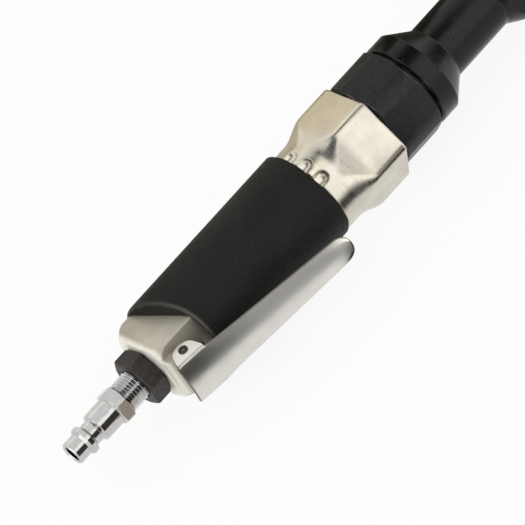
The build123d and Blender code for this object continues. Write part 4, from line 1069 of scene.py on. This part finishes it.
CARDS = (
    Card("plug_card", PLUG_CORNERS, "#45413d"),
    Card("side_card", SIDE_CORNERS, "#0c0c0c", "#a8a8a8", (48, 80)),
    Card("ridge_card", standing(SIDE_Y, (158, 190), (FLOOR_Z, 11)), "#8f8b84"),
    Card("roof_card", lying(ROOF_Z, (100, 270), (-28, 15)), "#1b1c1c"),
    Card("patch_card", lying(ROOF_Z, (40, 215), (-480, -300)), "#2a3040"),
    Card("tail_card", standing(25, (40, 95), (14, 40)), "#bcb8ab"),
    Card("facet_card", standing(35, (152, 205), (30, 64)), "#eee3cb"),
    Card("loft_card", lying(500, (-420, 80), (-520, -60)), "#222a3e"),
    Card("far_card", FAR_CORNERS, "#cbc3ae", "#5c584e", (185, 235)),
    Card("waist_card", lying(LOW_Z, (120, 190), (-82, -34)), "#080808"),
    Card("strip_card", lying(ROOF_Z, (160, 208), (-95, -42)), "#fffaf0", glow=1.7),
    Card("gleam_card", standing(SIDE_Y - 1, (126, 157), (-6, 18)), "#fffdf8", glow=1.6),
    Card("hex_card", lying(LOW_Z, (30, 41), (-52, -35)), "#b5a898"),
    Card("collar_card", lying(ROOF_Z, (225, 275), (-74, -28)), "#0a0a0a"),
    Card("rim_card", standing(60, (203, 245), (42, 95)), "#3a3833"),
)


@dataclass
class Studio:
    """Pale floor, white surround, soft boxes, and cards that only polished metal sees."""

    floor_half: float = 4000.0
    paper: tuple[str, str] = ("#f4f3f0", "#f8f8f6")
    fibre: float = 30.0
    whiteness: float = 0.9
    surround: float = 0.8
    centre: Triple = (0.12, 0.0, 0.0)

    def seen(self, tree: Tree) -> Node:
        """Tell what is seen from what is lit.

        Args:
            tree: Node tree that gets the test.

        Returns:
            One for camera, glossy and transmission rays, and zero for the rest.
        """
        path = add(tree, "LightPath").outputs
        straight = add(tree, "Math", (path["Is Camera Ray"], path["Is Glossy Ray"]), operation="MAXIMUM")
        return add(tree, "Math", (straight, path["Is Transmission Ray"]), operation="MAXIMUM")

    def world(self) -> None:
        """White for what the camera, gloss and glass see; a plain grey level for the light itself."""
        world = bpy.data.worlds.new("white_surround")
        tree = blank_tree(world)
        grey = add(tree, "Background", {"Color": linear(WHITE), "Strength": self.surround})
        white = add(tree, "Background", {"Color": linear(WHITE), "Strength": 1.0})
        mixed = add(tree, "MixShader", (self.seen(tree), grey, white))
        add(tree, "OutputWorld", {"Surface": mixed})
        bpy.context.scene.world = world

    def plane(self, name: str, corners: tuple[Triple, ...], material: bpy.types.Material) -> bpy.types.Object:
        """Make a flat four-cornered stage piece.

        Args:
            name: The stage piece's name.
            corners: Its corners in millimetres.
            material: Its material.

        Returns:
            The object, linked to the scene.
        """
        mesh = bpy.data.meshes.new(name)
        mesh.from_pydata(np.array(corners) * MM, [], [(0, 1, 2, 3)])
        mesh.materials.append(material)
        made = bpy.data.objects.new(name, mesh)
        bpy.context.scene.collection.objects.link(made)
        return made

    def floor(self) -> None:
        """Lay a pale paper floor that stays near white to the camera and keeps the tool's shadow."""
        material = bpy.data.materials.new("matt_white_paper")
        tree = blank_tree(material)
        place = add(tree, "TexCoord").outputs["Object"]
        fibre = add(tree, "TexNoise", {"Vector": place, "Scale": per_mm(self.fibre)})
        wires = {SHARE: fibre, FIRST: linear(self.paper[0]), SECOND: linear(self.paper[1])}
        paper = add(tree, "Mix", wires, data_type="RGBA")
        matt = add(tree, "BsdfDiffuse", {"Color": paper})
        glow = add(tree, "Emission", {"Color": linear(WHITE), "Strength": 1.0})
        share = add(tree, "Math", (self.seen(tree), self.whiteness), operation="MULTIPLY")
        mixed = add(tree, "MixShader", (share, matt, glow))
        add(tree, "OutputMaterial", {"Surface": mixed})
        sides = (-self.floor_half, self.floor_half)
        self.plane("paper_floor", lying(FLOOR_Z, sides, sides), material)

    def hang(self, card: Card) -> None:
        """Hang a card and hide it from all but glossy rays.

        Args:
            card: The card.
        """
        material = bpy.data.materials.new(card.name + "_felt")
        tree = blank_tree(material)
        tone = linear(card.tone)
        if card.front is not None:
            place = add(tree, "TexCoord").outputs["Object"]
            x = add(tree, "SeparateXYZ", (place,))
            share = add(tree, "MapRange", (x, *(end * MM for end in card.fade)))
            wires = {SHARE: share, FIRST: tone, SECOND: linear(card.front)}
            tone = add(tree, "Mix", wires, data_type="RGBA")
        light = add(tree, "Emission", {"Color": tone, "Strength": card.glow})
        add(tree, "OutputMaterial", {"Surface": light})
        made = self.plane(card.name, card.corners, material)
        for kind in ("camera", "diffuse", "transmission", "shadow", "volume_scatter"):
            setattr(made, f"visible_{kind}", False)

    def light(self, box: SoftBox) -> None:
        """Hang a soft box.

        Args:
            box: The soft box.
        """
        lamp = bpy.data.lights.new(box.name, "AREA")
        lamp.shape = "SQUARE"
        lamp.size = box.size
        lamp.energy = box.level * pi ** 2 * box.away ** 2
        lamp.color = linear(box.colour)[:3]
        made = bpy.data.objects.new(box.name, lamp)
        bpy.context.scene.collection.objects.link(made)
        direction = Vector(box.toward).normalized()
        made.location = Vector(self.centre) + direction * box.away
        made.rotation_mode = "QUATERNION"
        made.rotation_quaternion = direction.to_track_quat("Z", "Y")
        made.visible_camera = False

    def build(self) -> None:
        """Set up the surround, floor, lamps and cards."""
        self.world()
        self.floor()
        for box in SOFT_BOXES:
            self.light(box)
        for card in CARDS:
            self.hang(card)


@dataclass
class PhotoCamera:
    """Long lens above the lever side, behind the tool, rolled so that the tool climbs to the right.

    Angles are in degrees, its distance, sensor and reach as Blender takes them, its aim in millimetres,
    and its scale in pixels of the frame to a millimetre.
    """

    azimuth: float = -20.6
    elevation: float = 38.2
    roll: float = 34.8
    distance: float = 1.8
    frame: float = 525.0
    scale: float = 2.7
    sensor: float = 36.0
    reach: float = 20.0
    aim: Triple = (102.7, -2.93, -3.49)

    def build(self) -> None:
        """Place the camera by its angles and give it the lens that makes a millimetre this many pixels."""
        a, e, turn = radians(self.azimuth), radians(self.elevation), radians(self.roll)
        back = Vector((sin(a) * cos(e), -cos(a) * cos(e), sin(e)))
        level = Vector((cos(a), sin(a), 0.0))
        upright = back.cross(level)
        right = cos(turn) * level - sin(turn) * upright
        up = sin(turn) * level + cos(turn) * upright
        data = bpy.data.cameras.new("photo_camera")
        data.sensor_width = self.sensor
        data.lens = self.scale * self.distance / MM * self.sensor / self.frame
        data.clip_end = self.reach
        camera = bpy.data.objects.new("photo_camera", data)
        bpy.context.scene.collection.objects.link(camera)
        spin = Matrix((right, up, back)).transposed().to_4x4()
        camera.matrix_world = Matrix.Translation(Vector(self.aim) * MM + back * self.distance) @ spin
        bpy.context.scene.camera = camera


def dress_nodes(made: dict[str, bpy.types.Material]) -> None:
    """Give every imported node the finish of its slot.

    Args:
        made: Finished materials by slot.
    """
    for part in frame["record"]["subparts"]:
        node = frame["nodes"][part["node"]]
        finish = NODE_FINISHES.get(part["node"], part["material_slot"])
        for slot in node.material_slots:
            slot.material = made[finish]


def main() -> None:
    """Build the finishes, pieces, studio and camera, and note each piece."""
    logging.basicConfig(level=logging.INFO)
    bpy.context.scene.view_settings.view_transform = "Standard"
    made = {slot: finish.make() for slot, finish in FINISHES.items()}
    dress_nodes(made)
    assemblies = [(GripSleeve(), "grip_rubber"), (ThrottleLever(), "pressed_steel")]
    for assembly, slot in assemblies + [(spring, "spring_steel") for spring in SPRINGS]:
        piece = assembly.build()
        piece.data.materials.append(made[slot])
        LOG.info("%s: %d faces", piece.name, len(piece.data.polygons))
    Studio().build()
    PhotoCamera().build()


if __name__ == "__main__":
    main()
